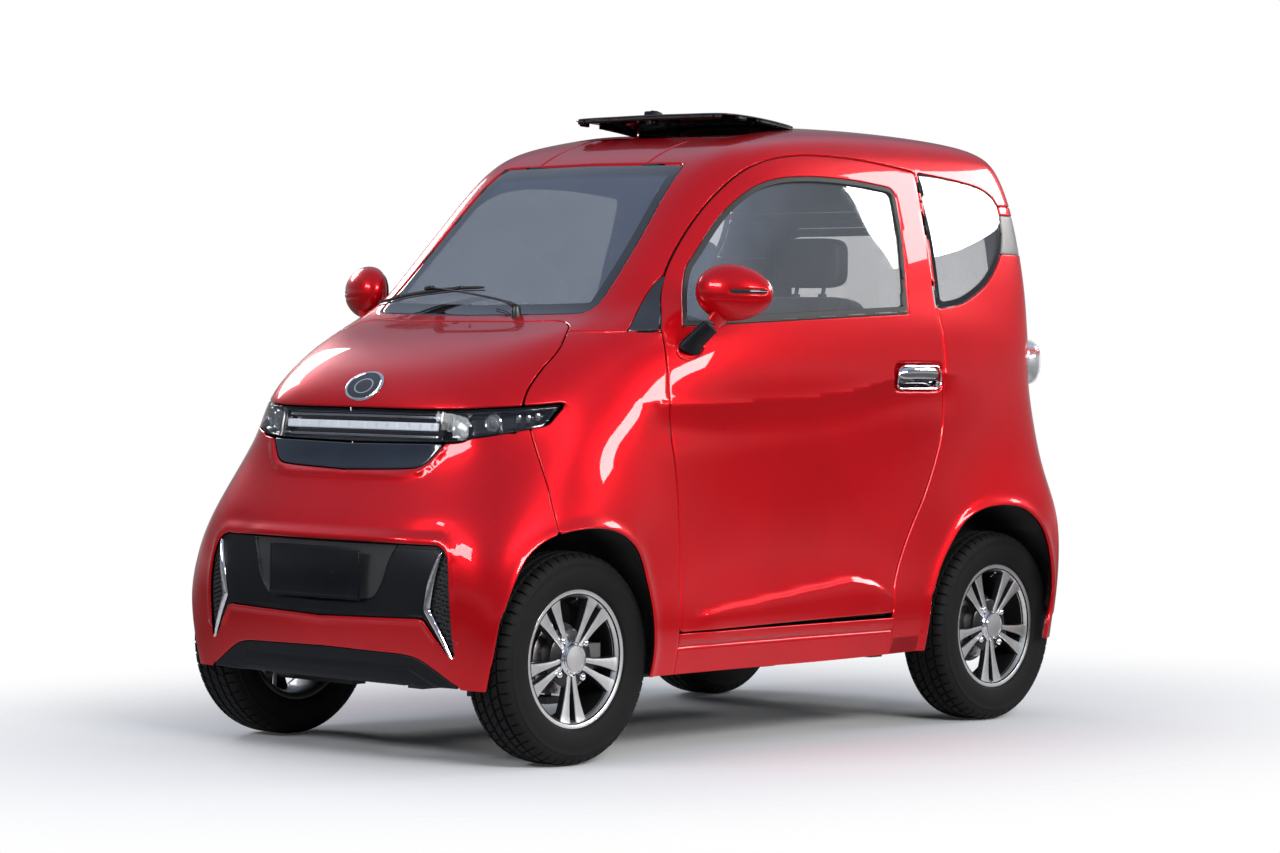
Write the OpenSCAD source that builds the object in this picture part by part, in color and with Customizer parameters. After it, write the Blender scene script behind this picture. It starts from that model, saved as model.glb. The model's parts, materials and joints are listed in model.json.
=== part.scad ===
/* [Wheels] */
// Distance between the front and the rear axle
wheelbase = 1648; // [1640:1:1656]
// Distance from the centre line to the middle of a tyre
wheel_x = 480.5; // [478:0.5:482]
// Outside radius of the tyres
tyre_r = 254; // [248:1:255]
// Width of the tyres
tyre_w = 145; // [135:1:146]
// Radius of the stub axles
stub_r = 20; // [16:1:24]
// Steering angle each way that the arches leave room for
steer_max = 25; // [15:1:26]

/* [Body] */
// Gap between a moving panel and the body
seam = 5; // [5:0.5:7]
// Thickness of bumpers, fenders and bonnet
skin = 6; // [5:1:8]
// Thickness of the roof, pillars and quarter panels
wall = 28; // [22:1:32]
// Thickness of the doors below the belt line
door_t = 46; // [36:1:50]
// Thickness of the glass
glass_t = 5; // [4:0.5:6]

/* [Mirrors] */
// Angle that each mirror head is turned towards the driver
mirror_turn = 28; // [12:2:30]

/* [Cabin] */
// Radius of the steering wheel to the middle of its rim
steering_r = 170; // [150:5:175]
// Width of each seat
seat_w = 420; // [380:10:440]
// Angle that the roof glass stands open at the front
roof_tilt = 11.4; // [9:0.2:12]

/* [Hidden] */

yf = -wheelbase/2;              // front axle
yr = wheelbase/2;               // rear axle
king_x = 450;                   // steering pivot
run = 0.05;                     // running clearance on a radius
red = "#a3111c";
black = "#191a1c";
grey = "#4a4c50";
silver = "#b9bcc0";
dark_glass = "#20262c";

// ---------------------------------------------------------------- body surface
// Half body as horizontal rings, each from the middle of the nose round the
// left side to the middle of the tail. Uniform cubic B-spline through them.
rings = [
    // sill edge, z 190
    [[0,-1122,190], [220,-1118,190], [403,-1105,190], [524,-1068,190], [563,-950,195], [578,-820,200], [562,-560,200], [548,-200,200],
     [548,200,200], [562,570,210], [588,830,215], [583,1000,215], [515,1080,220], [285,1120,220], [0,1130,220]],
    // z 300
    [[0,-1145,300], [220,-1140,300], [406,-1120,300], [538,-1078,300], [578,-955,310], [595,-820,315], [582,-560,315], [572,-200,315],
     [572,200,315], [582,570,320], [603,830,325], [596,1005,330], [527,1092,335], [290,1134,335], [0,1146,335]],
    // z 420, fullest section
    [[0,-1155,420], [220,-1150,420], [408,-1129,420], [536,-1079,425], [582,-955,430], [602,-820,435], [577,-570,435], [558,-200,435],
     [560,200,435], [578,550,440], [610,830,445], [600,1008,450], [530,1097,455], [290,1138,455], [0,1150,455]],
    // z 540
    [[0,-1140,535], [220,-1135,535], [405,-1110,535], [516,-1050,540], [572,-945,550], [598,-815,555], [574,-570,555], [552,-200,555],
     [554,200,555], [578,560,555], [608,830,560], [595,1003,560], [523,1087,565], [286,1124,565], [0,1134,565]],
    // z 650
    [[0,-1092,640], [210,-1088,640], [380,-1062,640], [480,-1003,650], [538,-915,665], [568,-800,670], [569,-580,670], [555,-200,670],
     [556,200,670], [572,560,670], [588,820,675], [572,975,675], [500,1052,675], [278,1078,675], [0,1084,675]],
    // z 760
    [[0,-1050,745], [205,-1045,745], [362,-1014,745], [450,-948,760], [506,-868,780], [545,-775,790], [564,-580,790], [563,-200,790],
     [564,200,790], [570,560,790], [572,810,795], [553,960,795], [485,1028,795], [272,1052,795], [0,1058,795]],
    // z 850, lamp line
    [[0,-1033,840], [200,-1027,840], [350,-993,845], [433,-915,855], [480,-840,875], [516,-750,890], [555,-570,895], [574,-200,900],
     [576,200,900], [573,560,905], [563,805,910], [541,948,910], [475,1014,910], [268,1037,910], [0,1043,910]],
    // z 940, shoulder
    [[0,-972,930], [190,-962,930], [327,-922,932], [407,-852,940], [452,-785,955], [493,-705,970], [541,-550,978], [570,-200,985],
     [573,200,985], [568,552,988], [557,806,990], [536,952,990], [472,1018,990], [265,1042,990], [0,1048,990]],
    // z 1020, belt
    [[0,-815,1008], [188,-807,1009], [322,-778,1012], [397,-735,1017], [443,-675,1026], [484,-602,1040], [528,-475,1050], [560,-180,1062],
     [562,200,1065], [559,544,1065], [547,802,1065], [527,954,1065], [466,1020,1065], [262,1044,1065], [0,1051,1065]],
    // z 1090, window base
    [[0,-666,1058], [190,-657,1060], [330,-632,1066], [400,-594,1077], [440,-538,1093], [476,-474,1110], [513,-362,1125], [543,-140,1140],
     [547,200,1145], [542,530,1145], [534,795,1145], [518,954,1145], [459,1019,1145], [258,1044,1145], [0,1051,1145]],
    // z 1180
    [[0,-553,1145], [182,-546,1146], [325,-528,1152], [396,-490,1168], [434,-438,1187], [470,-372,1205], [499,-279,1222], [522,-80,1240],
     [526,210,1245], [524,526,1247], [517,785,1247], [502,948,1247], [448,1013,1247], [252,1040,1248], [0,1047,1248]],
    // z 1310
    [[0,-403,1288], [176,-396,1289], [316,-383,1293], [388,-349,1307], [425,-297,1325], [457,-232,1342], [476,-151,1355], [490,10,1368],
     [494,230,1372], [493,516,1372], [491,766,1370], [478,932,1368], [430,999,1366], [245,1028,1367], [0,1036,1367]],
    // z 1440, header
    [[0,-262,1425], [170,-256,1426], [307,-245,1430], [377,-215,1438], [415,-161,1448], [441,-99,1458], [455,-33,1465], [460,90,1474],
     [462,260,1480], [462,496,1480], [459,736,1478], [449,892,1474], [407,967,1470], [237,999,1472], [0,1009,1474]],
    // z 1510, roof edge
    [[0,-128,1500], [162,-121,1501], [293,-109,1504], [360,-80,1508], [384,-38,1512], [403,1,1518], [409,54,1525], [411,140,1534],
     [413,270,1541], [412,456,1545], [410,670,1545], [402,815,1542], [363,888,1539], [220,930,1541], [0,942,1545]],
    // z 1550, roof
    [[0,0,1538], [120,5,1538], [190,15,1540], [225,35,1543], [243,60,1547], [252,90,1551], [258,130,1556], [263,200,1563],
     [265,290,1569], [264,390,1573], [260,490,1574], [246,565,1573], [216,620,1572], [133,655,1573], [0,665,1573]],
    // roof ridge
    [[0,60,1552], [0,65,1552], [0,75,1553], [0,90,1556], [0,105,1559], [0,125,1562], [0,150,1568], [0,190,1575],
     [0,260,1581], [0,330,1584], [0,390,1587], [0,430,1588], [0,460,1588], [0,480,1588], [0,490,1588]]
];
sub = 2;                        // steps per span
function mir(p) = [-p[0], p[1], p[2]];
function mirrow(r) = [for (p = r) mir(p)];
function ext_u(r) = concat([mir(r[2]), mir(r[1])], r, [mir(r[len(r)-2]), mir(r[len(r)-3])]);
function ext_v(a) = concat([2*a[0]-a[2], 2*a[0]-a[1]], a, [mirrow(a[len(a)-2]), mirrow(a[len(a)-3])]);
function filt(a) = [for (i = [1:len(a)-2]) (8*a[i]-a[i-1]-a[i+1])/6];
function bas(t) = [pow(1-t,3), 3*t*t*t-6*t*t+4, -3*t*t*t+3*t*t+3*t+1, t*t*t]/6;
function ev(a, i, b) = b[0]*a[i]+b[1]*a[i+1]+b[2]*a[i+2]+b[3]*a[i+3];
function fine(a) = concat([for (i = [0:len(a)-4], k = [0:sub-1]) ev(a, i, bas(k/sub))], [ev(a, len(a)-4, bas(1))]);
half = fine([for (r = filt([for (q = ext_v([for (r = rings) r])) q])) fine(filt(ext_u(r)))]);
nu = len(half[0])-1;            // columns on one side
nv = len(half)-1;               // rings
full = [for (r = half) [for (k = [0:2*nu-1]) k <= nu ? r[k] : mir(r[2*nu-k])]];
nk = 2*nu;
function unit(v) = v/norm(v);
function nrm(j, k) = j == nv ? [0,0,1] : unit(cross(full[j][(k+1)%nk]-full[j][(k+nk-1)%nk], full[min(j+1,nv)][k]-full[max(j-1,0)][k]));
nrms = [for (j = [0:nv]) [for (k = [0:nk-1]) nrm(j, k)]];
function grid(d) = [for (j = [0:nv]) [for (k = [0:nk-1]) full[j][k]-d*nrms[j][k]]];
// thicker below the belt line than above it
function lean(z, lo, hi) = z < 960 ? lo : z > 1120 ? hi : lo+(hi-lo)*(z-960)/160;
function grid2(lo, hi) = [for (j = [0:nv]) [for (k = [0:nk-1]) full[j][k]-lean(full[j][k][2], lo, hi)*nrms[j][k]]];
function top(k) = k <= nu ? k : nk-k;
function id(j, k) = j*nk+(j == nv ? top(k%nk) : k%nk);
function flat2(g) = [for (r = g) each r];
function skin_faces(o, rev) = [for (j = [0:nv-1], k = [0:nk-1]) let (a = o+id(j,k), b = o+id(j,k+1), c = o+id(j+1,k+1), d = o+id(j+1,k))
    each [if (c != d) (rev ? [a,c,d] : [a,d,c]), rev ? [a,b,c] : [a,c,b]]];

// solid body volume set in by d
module body_solid(d) {
    g = grid(d);
    n = (nv+1)*nk;
    polyhedron(points = concat(flat2(g), [[0, 0, g[0][0][2]]]),
        faces = concat(skin_faces(0, false), [for (k = [0:nk-1]) [id(0,k), id(0,k+1), n]]), convexity = 8);
}
module shell_of(go, gi) {
    n = (nv+1)*nk;
    polyhedron(points = concat(flat2(go), flat2(gi)),
        faces = concat(skin_faces(0, false), skin_faces(n, true),
            [for (k = [0:nk-1]) each [[id(0,k), id(0,k+1), n+id(0,k+1)], [id(0,k), n+id(0,k+1), n+id(0,k)]]]), convexity = 10);
}
module shell(a, b) { shell_of(grid(a), grid(b)); }
module shell2(a, lo, hi) { shell_of(grid(a), grid2(lo, hi)); }

// outlines: side view is (y, z), front view is (x, z), plan is (x, y)
door_line = [[-496,303],[-491,480],[-497,640],[-516,770],[-524,870],[-521,960],[-517,1030],[-470,1112],[-418,1186],[-350,1262],
    [-272,1336],[-198,1394],[-132,1435],[-70,1460],[5,1477],[90,1486],[175,1488],[290,1485],[415,1475],[536,1461],
    [534,1360],[532,1250],[530,1100],[543,1035],[547,960],[544,880],[537,770],[482,640],[416,530],[364,435],[346,385],[344,313]];
window_line = [[-451,1046],[-387,1175],[-337,1232],[-242,1321],[-159,1377],[-80,1411],[20,1429],[150,1434],[288,1429],[400,1421],[436,1396],[431,1298],[409,1088]];
quarter_line = [[549,1462],[724,1446],[832,1427],[872,1405],[888,1372],[876,1305],[838,1233],[768,1170],[660,1122],[545,1103]];
front_arch = [[-1082,60],[-1082,314],[-1068,388],[-1042,455],[-1007,507],[-955,543],[-893,560],[-812,565],[-739,554],[-685,528],
    [-650,492],[-624,430],[-604,365],[-593,300],[-588,254],[-592,200],[-592,60]];
rear_arch = [[491,60],[491,321],[503,365],[530,425],[575,490],[623,541],[691,573],[770,583],[851,575],[912,545],[958,498],[993,418],[1006,355],[1003,293],[990,230],[985,60]];
fender_side = [[-1100,1028],[-1100,858],[-912,800],[-918,731],[-923,658],[-928,560],[-928,100],[-498,100],[-498,303],[-493,480],[-499,640],[-518,770],[-526,870],[-523,960],[-519,1028]];
hood_plan = [[0,-690],[200,-683],[322,-666],[366,-684],[384,-702],[418,-766],[426,-837],[427,-886],[434,-907],[442,-925],[442,-1200],[0,-1200]];
light_front = [[0,838],[270,838],[405,846],[470,853],[496,858],[488,808],[420,787],[360,775],[305,763],[0,758]];
nose_front = [[0,758],[302,762],[256,706],[200,698],[0,691]];
grille_front = [[0,523],[372,524],[402,494],[417,400],[422,262],[402,272],[338,352],[0,343]];
lip_front = [[0,268],[290,262],[335,246],[428,194],[428,120],[0,120]];
wind_front = [[0,1068],[330,1074],[368,1084],[352,1250],[328,1400],[322,1448],[312,1457],[0,1462]];
gate_rear = [[0,700],[390,700],[425,740],[440,860],[440,1000],[430,1200],[414,1345],[400,1372],[0,1378]];
gate_glass_rear = [[0,1010],[360,1010],[385,1045],[380,1200],[364,1325],[350,1338],[0,1342]];

module both(p) { polygon(p); mirror([1,0]) polygon(p); }
module bothu(p, d = 0) { offset(delta = d) both(p); }
module side(x0, x1) { translate([x0,0,0]) rotate([90,0,90]) linear_extrude(x1-x0) children(); }
module sides(x0, x1) { side(x0, x1) children(); side(-x1, -x0) children(); }
module front(y0, y1) { translate([0,y1,0]) rotate([90,0,0]) linear_extrude(y1-y0) children(); }
module plan(z0, z1) { translate([0,0,z0]) linear_extrude(z1-z0) children(); }
module mesh() { resize([0,0,0]) children(); }
module tilt_roof(a) { translate([0,296,1584]) rotate([a,0,0]) translate([0,-296,-1584]) children(); }

module door_cut(d) { sides(250, 700) offset(delta = d) polygon(door_line); }
module arch_cut(d) { sides(300, 700) { offset(delta = d) polygon(front_arch); offset(delta = d) polygon(rear_arch); } }
// room for the tyres, the front ones as they steer
module tyre_space() { rotate([0,90,0]) rotate_extrude($fn = 72) polygon([[0,-tyre_w/2-6],[215,-tyre_w/2-6],[232,-74],[248,-66],[256,-53],[260,-30],[260,30],[256,53],[248,66],[232,74],[215,tyre_w/2+6],[0,tyre_w/2+6]]); }
module tyre_room() {
    for (s = [-1,1], a = [-4:4])
        translate([s*king_x, yf, tyre_r]) rotate([0,0,a*steer_max/4]) translate([s*(wheel_x-king_x),0,0]) tyre_space();
}
module rear_room() { for (s = [-1,1]) translate([s*wheel_x, yr, tyre_r]) tyre_space(); }
module roof_plan(d) { offset(r = 45+d) offset(delta = -45) translate([-280,8]) square([560,282]); }

// ---------------------------------------------------------------- body panels
module hood() { color(red) mesh() difference() {
    intersection() { shell(0, 16); plan(834, 1200) bothu(hood_plan); }
    front(-1300, -300) bothu(light_front, seam);
} }
module front_fenders() { color(red) mesh() difference() {
    intersection() { shell(0, skin); sides(200, 700) offset(delta = -0.3) polygon(fender_side); }
    plan(780, 1200) bothu(hood_plan, seam);
    front(-1300, -300) bothu(light_front, 1);
    front(-1300, -300) bothu(nose_front, 1);
    door_cut(seam);
    sides(300, 700) polygon(front_arch);
    tyre_room();
    sides(300, 700) translate([-498+0.5, 60]) square([200, 240]);
} }
module front_bumper() { color(red) mesh() difference() {
    intersection() { shell(0, skin); translate([-700,-1300,100]) cube([1400, 700, 762]); }
    sides(200, 700) offset(delta = 0.3) polygon(fender_side);
    plan(780, 1200) bothu(hood_plan, seam);
    front(-1300, -300) bothu(light_front, 1);
    front(-1300, -300) bothu(nose_front, 1);
    front(-1300, -300) bothu(grille_front, 1);
    front(-1300, -300) bothu(lip_front, 1);
    sides(300, 700) polygon(front_arch);
    tyre_room();
    translate([-700,-700,0]) cube([1400, 300, 1000]);
} }
module grille_panel() { color(black) mesh() difference() {
    union() {
        intersection() { shell(4, 14); front(-1300, -300) bothu(grille_front); }
        // backing frame
        translate([-300,-1120,395]) cube([600,14,95]);
    }
    tyre_room();
} }
module lower_lip() { color(black) mesh() difference() {
    intersection() { shell(-4, 10); front(-1300, -700) bothu(lip_front); translate([-430,-1300,150]) cube([860,600,200]); }
    tyre_room();
} }
module light_bar() { color(dark_glass) mesh() intersection() { shell(0, 40); front(-1300, -300) bothu(light_front, -1.5); } }
module nose_glass() { color(dark_glass) mesh() intersection() { shell(1, 14); front(-1300, -300) bothu(nose_front, -1.5); } }
module cabin_frame() { color(red) mesh() difference() {
    intersection() {
        shell(0, wall);
        side(-700, 700) polygon([[-900,1030],[-514,1030],[538,1386],[1300,1386],[1300,1700],[-900,1700]]);
    }
    front(-1300, 0) bothu(wind_front, 1);
    plan(780, 1200) bothu(hood_plan, seam);
    plan(1350, 1800) roof_plan(seam);
    door_cut(seam);
    sides(250, 700) offset(delta = 1) polygon(quarter_line);
    front(200, 1400) bothu(gate_rear, seam);
} }
module windshield() { color(dark_glass) mesh() intersection() { shell(3, 3+glass_t); front(-1300, 0) bothu(wind_front, -1.5); } }
module rear_quarters() { color(red) mesh() difference() {
    intersection() {
        shell(0, wall);
        sides(150, 700) polygon([[344,313],[346,385],[364,435],[416,530],[482,640],[537,770],[544,880],[547,960],[543,1035],[530,1100],[532,1250],[534,1385.4],[1300,1385.4],[1300,100],[900,100],[900,313]]);
    }
    door_cut(seam);
    sides(250, 700) offset(delta = 1) polygon(quarter_line);
    front(200, 1400) bothu(gate_rear, seam);
    sides(300, 700) polygon(rear_arch);
    rear_bumper_zone(0.5);
    rear_room();
    front(200, 1400) translate([-150,0]) square([300, 1300]);
} }
module rear_bumper_zone(d) { side(-700, 700) offset(delta = d) polygon([[1030,60],[1030,600],[1052,664],[1400,664],[1400,60]]); }
module rear_bumper() { color(red) mesh() difference() {
    intersection() { shell(0, skin+4); rear_bumper_zone(0); }
    front(200, 1400) bothu(gate_rear, seam);
    sides(300, 700) polygon(rear_arch);
    rear_room();
    // lower edge
    translate([-700,900,100]) cube([1400,400,156]);
} }
module quarter_windows() { color(dark_glass) mesh() intersection() { shell(3, 3+glass_t); sides(250, 700) offset(delta = -0.5) polygon(quarter_line); } }
module side_sills() { color(red) mesh() difference() {
    intersection() { shell(0, 40); sides(300, 700) translate([-497, 150]) square([985, 146]); }
    sides(300, 700) { polygon(front_arch); polygon(rear_arch); }
    tyre_room();
} }

// ---------------------------------------------------------------- doors and lids
module left_only() { intersection() { children(); translate([0,-2000,-100]) cube([1500,4000,2500]); } }
module door() { color(red) mesh() difference() {
    intersection() { shell2(0, door_t, wall); side(250, 700) polygon(door_line); }
    side(250, 700) offset(delta = 0.5) polygon(window_line);
} }
module door_glass() { color(dark_glass) mesh() intersection() { shell(8, 8+glass_t); side(250, 700) offset(delta = -0.5) polygon(window_line); } }
module mirror_unit() { color(red) mesh() difference() {
    union() {
        translate([642,-387,1128]) rotate([0,0,mirror_turn]) resize([196,116,142]) sphere(r = 100, $fn = 20);
        hull() { translate([618,-398,1078]) sphere(r = 17, $fn = 12); translate([570,-438,1008]) sphere(r = 20, $fn = 12); }
        hull() { translate([558,-466,984]) sphere(r = 14, $fn = 12); translate([558,-416,988]) sphere(r = 14, $fn = 12); translate([570,-438,1008]) sphere(r = 18, $fn = 12); }
    }
    body_solid(-0.3);
    // flat back that carries the glass
    translate([642,-387,1128]) rotate([0,0,mirror_turn]) translate([-150,38,-150]) cube([300,100,300]);
} }
module handle() { color(silver) mesh() difference() {
    union() {
        translate([560,352,905]) cube([30,166,16]);
        translate([560,352,896]) cube([22,20,56]);
        translate([560,498,896]) cube([22,20,56]);
        translate([570,352,896]) cube([20,166,44]);
    }
    body_solid(-0.3);
} }
module left_door() door();
module right_door() mirror([1,0,0]) door();
module left_door_glass() door_glass();
module right_door_glass() mirror([1,0,0]) door_glass();
module left_mirror() mirror_unit();
module right_mirror() mirror([1,0,0]) mirror_unit();
module left_door_handle() handle();
module right_door_handle() mirror([1,0,0]) handle();
module tailgate() { color(red) mesh() difference() {
    intersection() { shell(0, wall); front(200, 1400) bothu(gate_rear); }
    front(200, 1400) bothu(gate_glass_rear, 0.5);
} }
module tailgate_glass() { color(dark_glass) mesh() intersection() { shell(5, 5+glass_t); front(200, 1400) bothu(gate_glass_rear, -0.5); } }
module sunroof_glass() { color(dark_glass) mesh() tilt_roof(-roof_tilt) union() {
    intersection() { shell(-3, 4); plan(1350, 1800) roof_plan(0); }
    translate([-16,22,1520]) cube([32,16,34]);
    translate([-40,256,1562]) cube([80,22,20]);
} }

// ---------------------------------------------------------------- lamps, plates, wiper
module number_plates() { color(black) {
    translate([-155,-1170,391]) cube([310,5,116]);
    translate([-140,-1165,425]) cube([24,13,24]);
    translate([116,-1165,425]) cube([24,13,24]);
    translate([-240,1165,472]) cube([480,5,112]);
    translate([-120,1146,500]) cube([24,19,24]);
    translate([96,1146,500]) cube([24,19,24]);
} }
module tail_lamps() { color(silver) mesh() difference() {
    for (s = [-1,1]) translate([s*500, 1000, 965]) rotate([0,0,s*-38]) resize([90,84,124]) sphere(r = 50, $fn = 16);
    body_solid(-0.3);
} }
module wiper() { color(black) mesh() difference() {
    union() {
        translate([162,-650,1050]) rotate([-14,0,0]) cylinder(h = 42, r = 12, $fn = 20);
        hull() { translate([162,-654,1090]) sphere(r = 9, $fn = 10); translate([90,-644,1106]) sphere(r = 7, $fn = 10); }
        hull() { translate([90,-644,1106]) sphere(r = 7, $fn = 10); translate([-190,-604,1137]) sphere(r = 6, $fn = 10); }
        hull() { translate([-340,-632,1098]) sphere(r = 6, $fn = 10); translate([-190,-600,1127]) sphere(r = 8, $fn = 10); }
        hull() { translate([-20,-580,1139]) sphere(r = 6, $fn = 10); translate([-190,-600,1127]) sphere(r = 8, $fn = 10); }
    }
    body_solid(-1);
} }

// ---------------------------------------------------------------- frame under the body
module chassis_rails() { color(black) for (s = [-1,1]) translate([s*230-25,-1050,176]) cube([50,2110,40]); }
module cross_members() { color(black) {
    for (s = [-1,1], y = [-470, 0, 440]) translate([s > 0 ? 255 : -440, y-25, 184]) cube([185,50,28]);
    for (y = [-1040, -500, 0, 440, 1030]) translate([-205,y-20,182]) cube([410,40,32]);
} }
module beam_brackets() { color(black) for (s = [-1,1]) {
    translate([s*200-15,-1068,216]) cube([30,30,150]);
    translate([s*200-15,1032,216]) cube([30,30,204]);
} }
module bumper_beams() { color(black) {
    translate([-330,-1085,320]) cube([660,17,60]);
    translate([-330,1062,360]) cube([660,20,60]);
} }
module battery_pack() { color(grey) difference() {
    translate([-330,60,252]) cube([660,330,185]);
    translate([0,0,-1]) for (s = [-1,1]) translate([s*331, 50, 252]) cube([2,400,200], center = false);
} }
module floor_pan() { color(black) mesh() difference() {
    intersection() {
        body_solid(56);
        union() {
            translate([-560,-545,232]) cube([1120,1020,16]);         // cabin floor
            translate([-560,-561,232]) cube([1120,16,780]);          // bulkhead
            translate([-560,-1055,596]) cube([1120,500,12]);         // tray under the bonnet
            for (s = [-1,1]) translate([s*262-6,-1055,232]) cube([12,500,366]);   // inner arches
            translate([-560,470,232]) cube([1120,16,380]);           // step behind the seats
            translate([-560,470,600]) cube([1120,600,14]);           // load floor
            for (s = [-1,1]) translate([s*375-6,470,232]) cube([12,600,370]);
        }
    }
    tyre_room();
    rear_room();
    // holes for the axle, the arms and the spring legs
    translate([-450,yr,tyre_r]) rotate([0,90,0]) cylinder(h = 900, r = 38, $fn = 32);
    for (s = [-1,1]) translate([s*262-20,-900,200]) cube([40,170,190]);
    for (s = [-1,1]) translate([s*330, yf+44, 154]) rotate([0,s*-8,0]) cylinder(h = 430, r = 27, $fn = 24);
} }
module rear_axle() { color(grey) {
    for (s = [-1,1]) {
        translate([s > 0 ? 100 : -stub_end(), yr, tyre_r]) rotate([0,90,0]) cylinder(h = stub_end()-100, r = stub_r, $fn = 40);
        translate([s > 0 ? 100 : -446, yr, tyre_r]) rotate([0,90,0]) cylinder(h = 346, r = 32, $fn = 40);
        translate([s > 0 ? 446 : -456, yr, tyre_r]) rotate([0,90,0]) cylinder(h = 10, r = 100, $fn = 48);
    }
    translate([-130, yr, tyre_r]) rotate([0,90,0]) cylinder(h = 260, r = 98, $fn = 48);
} }
module rear_motor() { color(grey) translate([-105, 600, 228]) cube([210,126,150]); }
module rear_springs() { color(grey) for (s = [-1,1]) {
    translate([s*290-30, 560, 287]) cube([60,290,12]);
    translate([s*290, yr, 299]) cylinder(h = 240, r = 24, $fn = 32);
} }
function stub_end() = wheel_x+46;
module front_subframe() { color(grey) {
    translate([-250,-870,226]) cube([500,90,24]);
    for (s = [-1,1]) translate([s*228-14,-860,250]) cube([28,70,116]);
} }
module front_arms() { color(grey) for (s = [-1,1]) {
    // lower and upper arms with the pivot pin between them
    translate([s > 0 ? 200 : -king_x-18, yf-22, 143]) cube([king_x+18-200,44,17]);
    translate([s > 0 ? 243 : -king_x-16, yf-16, 346]) cube([king_x+16-243,32,12]);
    translate([s*king_x, yf, 150]) cylinder(h = 200, r = 8, $fn = 32);
    translate([s*330-26, yf, 143]) cube([52,70,17]);
} }
module front_springs() { color(grey) for (s = [-1,1]) difference() {
    translate([s*330, yf+44, 154]) rotate([0,s*-8,0]) cylinder(h = 430, r = 22, $fn = 32);
    translate([s*330-60, yf, 140]) cube([120,90,20.2]);
    translate([s*330-60, yf-16, 345.8]) cube([160,32,12.4]);
} }
module steering_rack() { color(grey) {
    translate([-250,-715,236]) rotate([0,90,0]) cylinder(h = 500, r = 15, $fn = 32);
    for (s = [-1,1]) translate([s*225-15,-735,216]) cube([30,40,22]);
} }
module knuckle() { color(grey) difference() {
    union() {
        translate([king_x-18, yf-20, 168]) cube([36,40,170]);
        translate([king_x-18, yf-60, tyre_r-50]) cube([32,120,100]);
        translate([king_x, yf, tyre_r]) rotate([0,90,0]) cylinder(h = stub_end()-king_x, r = stub_r, $fn = 40);
        translate([king_x-18, yf, 205]) cube([18,112,20]);
        // brake caliper over the edge of the disc
        translate([king_x-12, yf+55, tyre_r-30]) cube([16,68,60]);
        translate([king_x-12, yf+97, tyre_r-30]) cube([66,26,60]);
        translate([king_x+40, yf+72, tyre_r-30]) cube([14,40,60]);
    }
    translate([king_x, yf, 160]) cylinder(h = 200, r = 8+run, $fn = 32);
} }
module left_knuckle() knuckle();
module right_knuckle() mirror([1,0,0]) knuckle();

// ---------------------------------------------------------------- wheels
module at_wheel(x, y) { translate([x, y, tyre_r]) rotate([0, x > 0 ? 90 : -90, 0]) children(); }
module tyre() { color(black) {
    h = tyre_w/2; r = tyre_r;
    rotate_extrude($fn = 96) polygon([[153,-58.8],[153,58.8],[166.4,58.8],[168,64],[180,h-2],[200,h],[216,h-2],[230,h-6],[242,h-13],[249,h-23],[r-1.5,h-42],[r,h-60],
        [r,60-h],[r-1.5,42-h],[249,23-h],[242,13-h],[230,6-h],[216,2-h],[200,-h],[180,2-h],[168,-64],[166.4,-58.8]]);
} }
module rim() { color(silver) difference() {
    union() {
        rotate_extrude($fn = 96) polygon([[145,-60.5],[166,-60.5],[166,-59],[152.6,-59],[152.6,59],[166,59],[166,60.5],[145,60.5]]);
        // hub with the brake disc behind it
        translate([0,0,-6]) cylinder(h = 54, r = 40, $fn = 48);
        translate([0,0,-6]) cylinder(h = 8, r = 86, $fn = 64);
        translate([0,0,32]) cylinder(h = 14, r = 62, $fn = 64);
        intersection() {
            translate([0,0,30]) linear_extrude(16) for (k = [0:4]) rotate(72*k) for (s = [-1,1]) polygon([[30,s*1],[30,s*27],[170,s*40],[170,s*19]]);
            translate([0,0,20]) cylinder(h = 40, r = 149, $fn = 96);
        }
    }
    translate([0,0,-30]) cylinder(h = 100, r = stub_r+run, $fn = 48);
} }
module left_front_tyre() at_wheel(wheel_x, yf) tyre();
module right_front_tyre() at_wheel(-wheel_x, yf) tyre();
module left_rear_tyre() at_wheel(wheel_x, yr) tyre();
module right_rear_tyre() at_wheel(-wheel_x, yr) tyre();
module left_front_rim() at_wheel(wheel_x, yf) rim();
module right_front_rim() at_wheel(-wheel_x, yf) rim();
module left_rear_rim() at_wheel(wheel_x, yr) rim();
module right_rear_rim() at_wheel(-wheel_x, yr) rim();

// ---------------------------------------------------------------- cabin
sw_pos = [225, -265, 950];      // middle of the steering wheel
sw_tilt = 62;                   // lean of its axis from upright
module at_wheel_column() { translate(sw_pos) rotate([-sw_tilt,0,0]) children(); }
module dashboard() { color(black) {
    mesh() difference() {
        intersection() { body_solid(78); side(-520, 520) polygon([[-544,600],[-544,985],[-470,1000],[-370,965],[-350,900],[-380,800],[-470,700],[-500,600]]); }
        at_wheel_column() translate([0,0,-260]) cylinder(h = 300, r = 24, $fn = 24);
    }
    at_wheel_column() translate([0,0,-250]) cylinder(h = 215, r = 22, $fn = 32);
    at_wheel_column() translate([0,0,-60]) cylinder(h = 62, r = 10, $fn = 32);
} }
module steering_wheel() { color(black) at_wheel_column() difference() {
    union() {
        rotate_extrude($fn = 64) translate([steering_r,0]) circle(r = 14, $fn = 20);
        translate([0,0,-22]) cylinder(h = 26, r = 42, $fn = 40);
        for (a = [0, 180, 270]) rotate([0,0,a]) translate([30,-14,-12]) cube([steering_r-34,28,12]);
    }
    translate([0,0,-40]) cylinder(h = 46, r = 10+run, $fn = 32);
} }
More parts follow.
